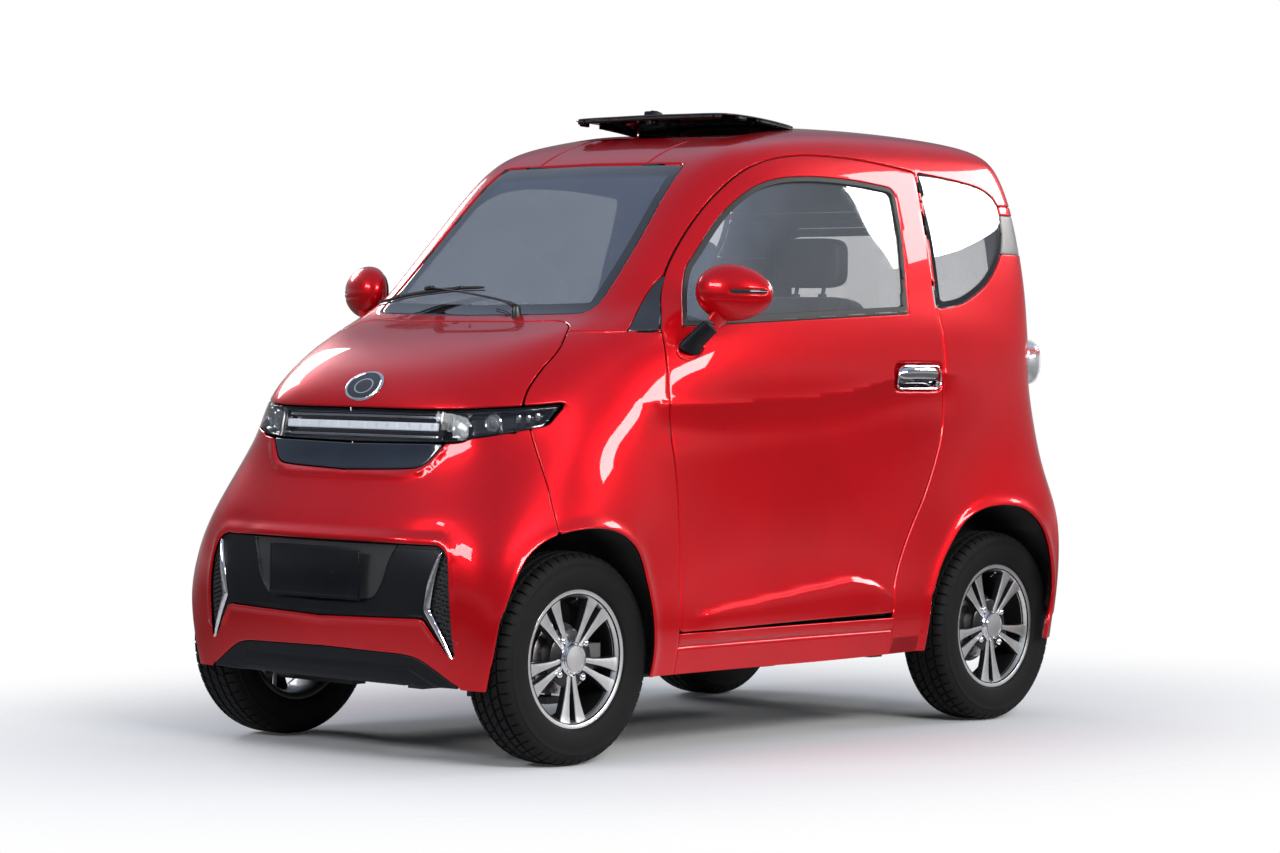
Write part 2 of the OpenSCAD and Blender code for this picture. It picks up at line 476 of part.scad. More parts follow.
module seat() {
    translate([-seat_w/2,0,0]) rotate([90,0,90]) linear_extrude(seat_w)
        polygon([[-60,460],[-70,520],[-55,548],[0,560],[230,540],[262,548],[330,900],[365,1120],[378,1150],[410,1150],[425,1120],[380,760],[345,500],[330,450]]);
    translate([-120,0,0]) rotate([90,0,90]) linear_extrude(240) polygon([[372,1149],[384,1270],[396,1292],[430,1292],[444,1270],[432,1149]]);
}
module seats() { color(grey) for (s = [-1,1]) translate([s*228,0,0]) {
    seat();
    translate([-170, -30, 249]) cube([340, 20, 212]);
} }

chassis_rails();
cross_members();
beam_brackets();
bumper_beams();
floor_pan();
battery_pack();
front_bumper();
grille_panel();
lower_lip();
light_bar();
nose_glass();
hood();
front_fenders();
cabin_frame();
windshield();
rear_quarters();
quarter_windows();
side_sills();
rear_bumper();
number_plates();
tail_lamps();
tailgate();
tailgate_glass();
left_door();
left_door_glass();
left_mirror();
left_door_handle();
right_door();
right_door_glass();
right_mirror();
right_door_handle();
sunroof_glass();
wiper();
dashboard();
steering_wheel();
seats();
front_subframe();
front_arms();
front_springs();
steering_rack();
rear_axle();
rear_motor();
rear_springs();
left_knuckle();
right_knuckle();
left_front_tyre();
left_front_rim();
right_front_tyre();
right_front_rim();
left_rear_tyre();
left_rear_rim();
right_rear_tyre();
right_rear_rim();
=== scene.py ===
import bpy, bmesh, math, json
import numpy as np
from mathutils import Vector, Matrix

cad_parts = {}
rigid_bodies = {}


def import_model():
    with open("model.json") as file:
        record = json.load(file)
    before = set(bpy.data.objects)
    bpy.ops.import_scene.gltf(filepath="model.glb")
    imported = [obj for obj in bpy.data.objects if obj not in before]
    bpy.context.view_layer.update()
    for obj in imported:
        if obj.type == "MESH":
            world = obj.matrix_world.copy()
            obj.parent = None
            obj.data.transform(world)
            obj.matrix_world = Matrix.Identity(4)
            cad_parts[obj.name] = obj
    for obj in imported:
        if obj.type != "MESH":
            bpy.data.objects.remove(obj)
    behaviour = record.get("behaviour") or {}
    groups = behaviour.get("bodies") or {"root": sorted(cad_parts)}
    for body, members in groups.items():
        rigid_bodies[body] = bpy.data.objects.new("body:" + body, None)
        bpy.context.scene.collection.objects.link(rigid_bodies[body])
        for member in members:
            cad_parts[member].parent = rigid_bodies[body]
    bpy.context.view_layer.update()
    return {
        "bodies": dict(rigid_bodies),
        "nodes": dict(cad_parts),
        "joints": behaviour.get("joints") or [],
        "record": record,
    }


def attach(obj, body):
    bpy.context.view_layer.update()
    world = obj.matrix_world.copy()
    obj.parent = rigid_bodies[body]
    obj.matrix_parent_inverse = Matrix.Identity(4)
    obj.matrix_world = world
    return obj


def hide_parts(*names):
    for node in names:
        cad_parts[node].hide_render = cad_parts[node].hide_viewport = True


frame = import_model()

# ------------------------------------------------------------------ body surface (same rings as the construction, in mm)
RINGS = [
    [(0, -1122, 190), (220, -1118, 190), (403, -1105, 190), (524, -1068, 190), (563, -950, 195), (578, -820, 200), (562, -560, 200), (548, -200, 200), (548, 200, 200), (562, 570, 210), (588, 830, 215), (583, 1000, 215), (515, 1080, 220), (285, 1120, 220), (0, 1130, 220)],
    [(0, -1145, 300), (220, -1140, 300), (406, -1120, 300), (538, -1078, 300), (578, -955, 310), (595, -820, 315), (582, -560, 315), (572, -200, 315), (572, 200, 315), (582, 570, 320), (603, 830, 325), (596, 1005, 330), (527, 1092, 335), (290, 1134, 335), (0, 1146, 335)],
    [(0, -1155, 420), (220, -1150, 420), (408, -1129, 420), (536, -1079, 425), (582, -955, 430), (602, -820, 435), (577, -570, 435), (558, -200, 435), (560, 200, 435), (578, 550, 440), (610, 830, 445), (600, 1008, 450), (530, 1097, 455), (290, 1138, 455), (0, 1150, 455)],
    [(0, -1140, 535), (220, -1135, 535), (405, -1110, 535), (516, -1050, 540), (572, -945, 550), (598, -815, 555), (574, -570, 555), (552, -200, 555), (554, 200, 555), (578, 560, 555), (608, 830, 560), (595, 1003, 560), (523, 1087, 565), (286, 1124, 565), (0, 1134, 565)],
    [(0, -1092, 640), (210, -1088, 640), (380, -1062, 640), (480, -1003, 650), (538, -915, 665), (568, -800, 670), (569, -580, 670), (555, -200, 670), (556, 200, 670), (572, 560, 670), (588, 820, 675), (572, 975, 675), (500, 1052, 675), (278, 1078, 675), (0, 1084, 675)],
    [(0, -1050, 745), (205, -1045, 745), (362, -1014, 745), (450, -948, 760), (506, -868, 780), (545, -775, 790), (564, -580, 790), (563, -200, 790), (564, 200, 790), (570, 560, 790), (572, 810, 795), (553, 960, 795), (485, 1028, 795), (272, 1052, 795), (0, 1058, 795)],
    [(0, -1033, 840), (200, -1027, 840), (350, -993, 845), (433, -915, 855), (480, -840, 875), (516, -750, 890), (555, -570, 895), (574, -200, 900), (576, 200, 900), (573, 560, 905), (563, 805, 910), (541, 948, 910), (475, 1014, 910), (268, 1037, 910), (0, 1043, 910)],
    [(0, -972, 930), (190, -962, 930), (327, -922, 932), (407, -852, 940), (452, -785, 955), (493, -705, 970), (541, -550, 978), (570, -200, 985), (573, 200, 985), (568, 552, 988), (557, 806, 990), (536, 952, 990), (472, 1018, 990), (265, 1042, 990), (0, 1048, 990)],
    [(0, -815, 1008), (188, -807, 1009), (322, -778, 1012), (397, -735, 1017), (443, -675, 1026), (484, -602, 1040), (528, -475, 1050), (560, -180, 1062), (562, 200, 1065), (559, 544, 1065), (547, 802, 1065), (527, 954, 1065), (466, 1020, 1065), (262, 1044, 1065), (0, 1051, 1065)],
    [(0, -666, 1058), (190, -657, 1060), (330, -632, 1066), (400, -594, 1077), (440, -538, 1093), (476, -474, 1110), (513, -362, 1125), (543, -140, 1140), (547, 200, 1145), (542, 530, 1145), (534, 795, 1145), (518, 954, 1145), (459, 1019, 1145), (258, 1044, 1145), (0, 1051, 1145)],
    [(0, -553, 1145), (182, -546, 1146), (325, -528, 1152), (396, -490, 1168), (434, -438, 1187), (470, -372, 1205), (499, -279, 1222), (522, -80, 1240), (526, 210, 1245), (524, 526, 1247), (517, 785, 1247), (502, 948, 1247), (448, 1013, 1247), (252, 1040, 1248), (0, 1047, 1248)],
    [(0, -403, 1288), (176, -396, 1289), (316, -383, 1293), (388, -349, 1307), (425, -297, 1325), (457, -232, 1342), (476, -151, 1355), (490, 10, 1368), (494, 230, 1372), (493, 516, 1372), (491, 766, 1370), (478, 932, 1368), (430, 999, 1366), (245, 1028, 1367), (0, 1036, 1367)],
    [(0, -262, 1425), (170, -256, 1426), (307, -245, 1430), (377, -215, 1438), (415, -161, 1448), (441, -99, 1458), (455, -33, 1465), (460, 90, 1474), (462, 260, 1480), (462, 496, 1480), (459, 736, 1478), (449, 892, 1474), (407, 967, 1470), (237, 999, 1472), (0, 1009, 1474)],
    [(0, -128, 1500), (162, -121, 1501), (293, -109, 1504), (360, -80, 1508), (384, -38, 1512), (403, 1, 1518), (409, 54, 1525), (411, 140, 1534), (413, 270, 1541), (412, 456, 1545), (410, 670, 1545), (402, 815, 1542), (363, 888, 1539), (220, 930, 1541), (0, 942, 1545)],
    [(0, 0, 1538), (120, 5, 1538), (190, 15, 1540), (225, 35, 1543), (243, 60, 1547), (252, 90, 1551), (258, 130, 1556), (263, 200, 1563), (265, 290, 1569), (264, 390, 1573), (260, 490, 1574), (246, 565, 1573), (216, 620, 1572), (133, 655, 1573), (0, 665, 1573)],
    [(0, 60, 1552), (0, 65, 1552), (0, 75, 1553), (0, 90, 1556), (0, 105, 1559), (0, 125, 1562), (0, 150, 1568), (0, 190, 1575), (0, 260, 1581), (0, 330, 1584), (0, 390, 1587), (0, 430, 1588), (0, 460, 1588), (0, 480, 1588), (0, 490, 1588)]
]
MX = np.array([-1.0, 1.0, 1.0])
A = np.array(RINGS, float)
NU, NV = A.shape[1] - 1, A.shape[0] - 1


def _ctrl():
    E = np.concatenate([A[:, 2:3] * MX, A[:, 1:2] * MX, A, A[:, -2:-1] * MX, A[:, -3:-2] * MX], 1)
    E = np.concatenate([2 * E[0:1] - E[2:3], 2 * E[0:1] - E[1:2], E, E[-2:-1] * MX, E[-3:-2] * MX], 0)
    F = (8 * E[:, 1:-1] - E[:, :-2] - E[:, 2:]) / 6
    return (8 * F[1:-1] - F[:-2] - F[2:]) / 6


CT = _ctrl()


def _b(t):
    return np.stack([(1 - t) ** 3, 3 * t ** 3 - 6 * t ** 2 + 4, -3 * t ** 3 + 3 * t ** 2 + 3 * t + 1, t ** 3], -1) / 6


def _db(t):
    return np.stack([-3 * (1 - t) ** 2, 9 * t ** 2 - 12 * t, -9 * t ** 2 + 6 * t + 3, 3 * t ** 2], -1) / 6


def S(u, v, d=None):
    iu = np.clip(np.floor(u).astype(int), 0, NU - 1); iv = np.clip(np.floor(v).astype(int), 0, NV - 1)
    tu, tv = u - iu, v - iv
    bu = _db(tu) if d == "u" else _b(tu)
    bv = _db(tv) if d == "v" else _b(tv)
    out = 0
    for a in range(4):
        row = 0
        for b in range(4):
            row = row + bu[..., b, None] * CT[iv + a, iu + b]
        out = out + bv[..., a, None] * row
    return out


def SN(u, v):
    n = np.cross(S(u, v, "u"), S(u, v, "v"))
    return n / np.maximum(np.linalg.norm(n, axis=-1, keepdims=True), 1e-9)


# ------------------------------------------------------------------ outlines
def spline(pts, step=12.0):
    """Closed outline. A point (a, b) is passed smoothly, (a, b, r) is a corner rounded by r."""
    n = len(pts)
    cor = [i for i, p in enumerate(pts) if len(p) == 3]
    P = [np.array(p[:2], float) for p in pts]
    if not cor:
        out = []
        for i in range(n):
            p0, p1, p2, p3 = P[i - 1], P[i], P[(i + 1) % n], P[(i + 2) % n]
            k = max(2, int(np.linalg.norm(p2 - p1) / step))
            for t in np.arange(k) / k:
                out.append(0.5 * ((2 * p1) + (-p0 + p2) * t + (2 * p0 - 5 * p1 + 4 * p2 - p3) * t * t + (-p0 + 3 * p1 - 3 * p2 + p3) * t ** 3))
        return np.array(out)
    runs = []
    for a, b in zip(cor, cor[1:] + [cor[0] + n]):
        idx = [k % n for k in range(a, b + 1)]
        q = [P[k] for k in idx]
        q = [2 * q[0] - q[1]] + q + [2 * q[-1] - q[-2]]
        line = []
        for i in range(1, len(q) - 2):
            p0, p1, p2, p3 = q[i - 1], q[i], q[i + 1], q[i + 2]
            k = max(2, int(np.linalg.norm(p2 - p1) / step)) if len(idx) > 2 else max(2, int(np.linalg.norm(p2 - p1) / 40))
            for t in np.arange(k) / k:
                line.append(0.5 * ((2 * p1) + (-p0 + p2) * t + (2 * p0 - 5 * p1 + 4 * p2 - p3) * t * t + (-p0 + 3 * p1 - 3 * p2 + p3) * t ** 3))
        line.append(P[idx[-1]])
        runs.append((np.array(line), pts[a][2], pts[b % n][2]))

    def trim(line, d):
        L = 0
        for i in range(len(line) - 1):
            s = np.linalg.norm(line[i + 1] - line[i])
            if L + s > d:
                return np.concatenate([[line[i] + (line[i + 1] - line[i]) * (d - L) / s], line[i + 1:]])
            L += s
        return line[-1:]
    out = []
    tr = []
    for line, ra, rb in runs:
        l = trim(line, ra) if ra > 0 else line
        l = trim(l[::-1], rb)[::-1] if rb > 0 else l
        tr.append(l)
    for i, (line, ra, rb) in enumerate(runs):
        out.extend(tr[i])
        c = line[-1]
        if rb > 0:
            a, b = tr[i][-1], tr[(i + 1) % len(tr)][0]
            for t in (0.2, 0.4, 0.6, 0.8):
                out.append((1 - t) ** 2 * a + 2 * t * (1 - t) * c + t * t * b)
    out = np.array(out)
    keep = np.linalg.norm(out - np.roll(out, 1, 0), axis=1) > 1e-3
    return out[keep]


def sdf(poly):
    a = poly; b = np.roll(poly, -1, 0); e = b - a
    ee = (e ** 2).sum(1)
    lo, hi = poly.min(0) - 400, poly.max(0) + 400

    def f(x, y):
        x = np.asarray(x, float); y = np.asarray(y, float)
        shp = x.shape; x = x.ravel(); y = y.ravel()
        out = np.full(x.shape, 400.0)
        m = (x > lo[0]) & (x < hi[0]) & (y > lo[1]) & (y < hi[1])
        xs, ys = x[m], y[m]
        best = np.full(xs.shape, 1e18); ins = np.zeros(xs.shape, bool)
        for i in range(len(a)):
            wx, wy = xs - a[i, 0], ys - a[i, 1]
            t = np.clip((wx * e[i, 0] + wy * e[i, 1]) / ee[i], 0, 1)
            dd = (wx - e[i, 0] * t) ** 2 + (wy - e[i, 1] * t) ** 2
            best = np.minimum(best, dd)
            c = (a[i, 1] > ys) != (b[i, 1] > ys)
            if e[i, 1] != 0:
                ins ^= c & (xs < a[i, 0] + e[i, 0] * (ys - a[i, 1]) / e[i, 1])
        d = np.sqrt(best); d[ins] *= -1
        out[m] = d
        return out.reshape(shp)
    return f


def side(pts, step=12.0):
    g = sdf(spline(pts, step)); return lambda P: g(P[..., 1], P[..., 2])


def mirrored(pts):
    """half outline in (x, .) from the middle, closed by its mirror image"""
    return list(pts) + [(-p[0],) + tuple(p[1:]) for p in reversed(pts)]


def front(pts, step=12.0):
    g = sdf(spline(mirrored(pts), step)); return lambda P: g(np.abs(P[..., 0]), P[..., 2])


def plan(pts, step=12.0):
    g = sdf(spline(mirrored(pts), step)); return lambda P: g(np.abs(P[..., 0]), P[..., 1])


DOOR = [(-496, 303, 14), (-491, 480), (-497, 640), (-516, 770), (-524, 870), (-521, 960), (-517, 1032, 8), (-470, 1112), (-418, 1186), (-350, 1262),
        (-272, 1336), (-198, 1394), (-132, 1435), (-70, 1460), (5, 1477), (90, 1486), (175, 1488), (290, 1485), (415, 1475), (536, 1461, 16),
        (534, 1360), (532, 1250), (531, 1150), (532, 1100, 10), (543, 1035), (547, 960), (544, 880), (537, 770), (482, 640), (416, 530), (364, 435), (346, 385, 14), (344, 313, 8)]
WINDOW = [(-451, 1046, 10), (-387, 1175), (-337, 1232), (-242, 1321), (-159, 1377), (-80, 1411), (20, 1429), (150, 1434), (288, 1429), (436, 1416, 34),
          (433, 1298), (409, 1088, 8)]
QUARTER = [(549, 1462, 8), (724, 1446), (832, 1427), (888, 1390), (893, 1330), (876, 1270), (838, 1220), (768, 1165), (660, 1120), (545, 1103, 8)]
FRONT_ARCH = [(-1082, 60, 0), (-1082, 314), (-1068, 388), (-1042, 455), (-1007, 507), (-955, 543), (-893, 560), (-812, 565), (-739, 554), (-685, 528),
              (-650, 492), (-624, 430), (-604, 365), (-593, 300), (-588, 254), (-592, 200), (-592, 60, 0)]
REAR_ARCH = [(491, 60, 0), (491, 321), (503, 365), (530, 425), (575, 490), (623, 541), (691, 573), (770, 583), (851, 575), (912, 545), (958, 498),
             (993, 418), (1006, 355), (1003, 293), (990, 230), (985, 60, 0)]
FEND = [(-1200, 1029, 0), (-1200, 856, 0), (-912, 800, 8), (-918, 731), (-923, 658), (-928, 560), (-928, 60, 0), (-498, 60, 0), (-498, 303, 0), (-493, 480), (-499, 640),
        (-518, 770), (-526, 870), (-523, 960), (-519, 1029, 0)]
HOODP = [(0, -690), (200, -683), (322, -666), (372, -684, 14), (418, -766), (426, -837), (430, -886), (436, -907), (442, -925, 0), (442, -1200, 0), (0, -1200)]
LIGHT = [(0, 838), (270, 838), (405, 846), (470, 853), (497, 858, 8), (488, 808, 8), (420, 787), (360, 775), (305, 763), (0, 758)]
NOSE = [(0, 756), (300, 760, 8), (256, 706, 22), (200, 698), (0, 691)]
GRILLE = [(0, 523), (372, 524, 14), (402, 494), (417, 400), (422, 262, 6), (402, 272), (338, 352, 10), (0, 343)]
LIP = [(0, 268), (285, 263, 30), (330, 248), (430, 192, 0), (430, 100, 0), (0, 100)]
WIND = [(0, 1068), (330, 1074), (372, 1086, 22), (352, 1250), (328, 1400), (316, 1458, 22), (0, 1462)]
GATE = [(0, 700), (390, 700, 30), (425, 760), (440, 860), (440, 1000), (430, 1200), (414, 1345), (402, 1372, 20), (0, 1378)]
GATEG = [(0, 1010), (362, 1010, 30), (384, 1060), (380, 1200), (364, 1325), (350, 1340, 24), (0, 1342)]
ROOFO = [(0, 8), (280, 8, 45), (280, 290, 45), (0, 290)]
RBUMP = [(1030, 60, 0), (1030, 600, 10), (1052, 664, 10), (1400, 664, 0), (1400, 60, 0)]

fD, fW, fQ = side(DOOR), side(WINDOW), side(QUARTER)
fAF, fAR, fFE, fRB = side(FRONT_ARCH), side(REAR_ARCH), side(FEND), side(RBUMP)
fH = plan(HOODP); fL = front(LIGHT); fN = front(NOSE); fG = front(GRILLE); fLip = front(LIP)
fWS = front(WIND); fTG = front(GATE); fTGG = front(GATEG); fRO = plan(ROOFO)
zmin = lambda z: (lambda P: z - P[..., 2])
zmax = lambda z: (lambda P: P[..., 2] - z)
ymin = lambda y: (lambda P: y - P[..., 1])
ymax = lambda y: (lambda P: P[..., 1] - y)


def inter(*fs):
    def f(P):
        r = None
        for g in fs:
            x = g(P); r = x if r is None else np.maximum(r, x)
        return r
    return f


def minus(f, *gs):
    """cut (g, d): keep what is more than d outside g"""
    def h(P):
        r = f(P)
        for g, d in gs:
            r = np.maximum(r, d - g(P))
        return r
    return h


# room that a steering tyre needs, as a field round its path
TY, TR, KX, WX = -824.0, 254.0, 450.0, 480.5


def tyre_field(P, rear=False):
    x, y, z = np.abs(P[..., 0]), P[..., 1], P[..., 2]
    best = np.full(x.shape, 1e9)
    for a in ([0.0] if rear else np.radians(np.linspace(-25, 25, 11))):
        kx, ky = (WX, 824.0) if rear else (KX, TY)
        dx, dy = x - kx, y - ky
        lx = dx * math.cos(a) + dy * math.sin(a) - (0 if rear else WX - KX)
        ly = -dx * math.sin(a) + dy * math.cos(a)
        r = np.hypot(ly, z - TR)
        qx, qr = np.abs(lx) - 46.0, r - 228.0
        d = np.hypot(np.maximum(qx, 0), np.maximum(qr, 0)) + np.minimum(np.maximum(qx, qr), 0) - 26.0
        best = np.minimum(best, d)
    return best


fTF = lambda P: tyre_field(P)
fTRr = lambda P: tyre_field(P, True)


# ------------------------------------------------------------------ grid over the half body and panel maker
def samples(n, lens, target):
    out = []
    for i in range(n):
        k = max(2, int(round(lens[i] / target)))
        out += [i + j / k for j in range(k)]
    return np.array(out + [n], float)


def grid_uv(target=11.0, vmax=NV, umin=0, umax=NU, vmin=0):
    lu = [np.linalg.norm(A[:, i + 1] - A[:, i], axis=1)[:13].max() for i in range(NU)]
    lv = [np.linalg.norm(A[i + 1] - A[i], axis=1).max() for i in range(NV)]
    us, vs = samples(NU, lu, target), samples(NV, lv, target)
    us = us[(us >= umin - 1e-9) & (us <= umax + 1e-9)]; vs = vs[(vs <= vmax + 1e-9) & (vs >= vmin - 1e-9)]
    U, V = np.meshgrid(us, vs)
    uv = np.stack([U.ravel(), V.ravel()], 1)
    nu, nv = len(us), len(vs)
    i = np.arange(nu - 1); j = np.arange(nv - 1)
    I, J = np.meshgrid(i, j)
    a = (J * nu + I).ravel(); b = a + 1; c = a + nu + 1; d = a + nu
    alt = ((I + J) % 2 == 0).ravel()
    T = np.concatenate([np.stack([a[alt], b[alt], c[alt]], 1), np.stack([a[alt], c[alt], d[alt]], 1),
                        np.stack([a[~alt], b[~alt], d[~alt]], 1), np.stack([b[~alt], c[~alt], d[~alt]], 1)])
    return uv, T


def split(uv, T, d, fun, iso):
    s = d >= 0
    st = s[T]; k = st.sum(1)
    keep = T[(k == 0) | (k == 3)]
    mix = T[(k == 1) | (k == 2)]
    if len(mix) == 0:
        return uv, T
    sm = s[mix]; one = sm.sum(1) == 1
    idx = np.where(one[:, None], sm, ~sm).argmax(1)
    r = np.arange(len(mix))
    a, b, c = mix[r, idx], mix[r, (idx + 1) % 3], mix[r, (idx + 2) % 3]
    E = np.sort(np.concatenate([np.stack([a, b], 1), np.stack([a, c], 1)]), 1)
    U, inv = np.unique(E, axis=0, return_inverse=True)
    inv = inv.ravel()
    i, j = U[:, 0], U[:, 1]
    t = d[i] / (d[i] - d[j])
    p = uv[i] + (uv[j] - uv[i]) * t[:, None]
    for _ in range(2):                      # settle each new point on the line
        g = fun(p) - iso
        dt = -g / (d[j] - d[i])
        t = np.clip(t + dt, 0.001, 0.999)
        p = uv[i] + (uv[j] - uv[i]) * t[:, None]
    n0 = len(uv)
    ab, ac = n0 + inv[:len(mix)], n0 + inv[len(mix):]
    T2 = np.concatenate([keep, np.stack([a, ab, ac], 1), np.stack([ab, b, c], 1), np.stack([ab, c, ac], 1)])
    return np.concatenate([uv, p]), T2


HEIGHTS = []                                # displacement fields on the body surface: P -> mm outwards


def relief(P):
    h = np.zeros(P.shape[:-1])
    for g in HEIGHTS:
        h = h + g(P)
    return h


def _mesh(name, verts, faces, normals=None, mats=(), mi=None):
    me = bpy.data.meshes.new(name)
    me.from_pydata([tuple(v) for v in verts], [], [tuple(f) for f in faces])
    for m in mats:
        me.materials.append(m)
    if mi is not None:
        me.polygons.foreach_set("material_index", np.asarray(mi, np.int32))
    me.polygons.foreach_set("use_smooth", np.ones(len(me.polygons), bool))
    me.update()
    if normals is not None:
        me.normals_split_custom_set_from_vertices([tuple(n) for n in normals])
    ob = bpy.data.objects.new(name, me)
    bpy.context.scene.collection.objects.link(ob)
    return ob


GRIDS = {}


def thin_out(Vi, T, bd, mid, cell=42.0):
    """The hidden inner skin needs fewer faces: points away from the edge gather to one point a cell."""
    n = len(Vi)
    keep = np.zeros(n, bool); keep[bd.ravel()] = True
    key = np.floor(Vi / cell).astype(np.int64)
    code = ((key[:, 0] + 500) * 1000 + key[:, 1] + 500) * 1000 + key[:, 2] + 500
    code = code * 2 + mid
    code[keep] = -1 - np.arange(n)[keep]
    _, inv = np.unique(code, return_inverse=True)
    k = inv.max() + 1
    cnt = np.bincount(inv, minlength=k).astype(float)
    c = np.stack([np.bincount(inv, Vi[:, q], k) / cnt for q in range(3)], 1)
    dd = ((Vi - c[inv]) ** 2).sum(1)
    o = np.lexsort((dd, inv)); first = np.r_[True, inv[o][1:] != inv[o][:-1]]
    repv = np.empty(k, int); repv[inv[o][first]] = o[first]
    T2 = repv[inv][T]
    T2 = T2[(T2[:, 0] != T2[:, 1]) & (T2[:, 1] != T2[:, 2]) & (T2[:, 0] != T2[:, 2])]
    # opposite twins cancel, equal twins count once
    r = np.argmin(T2, 1); R = np.stack([T2[np.arange(len(T2)), (r + q) % 3] for q in range(3)], 1)
    sgn = np.where(R[:, 1] < R[:, 2], 1, -1); srt = np.sort(R, 1)
    _, i2, j2 = np.unique(srt, axis=0, return_index=True, return_inverse=True)
    j2 = j2.ravel()
    tot = np.bincount(j2, sgn)
    out = srt[i2][np.abs(tot) > 0.5].copy()
    neg = tot[np.abs(tot) > 0.5] < 0
    out[neg] = out[neg][:, ::-1]
    return out


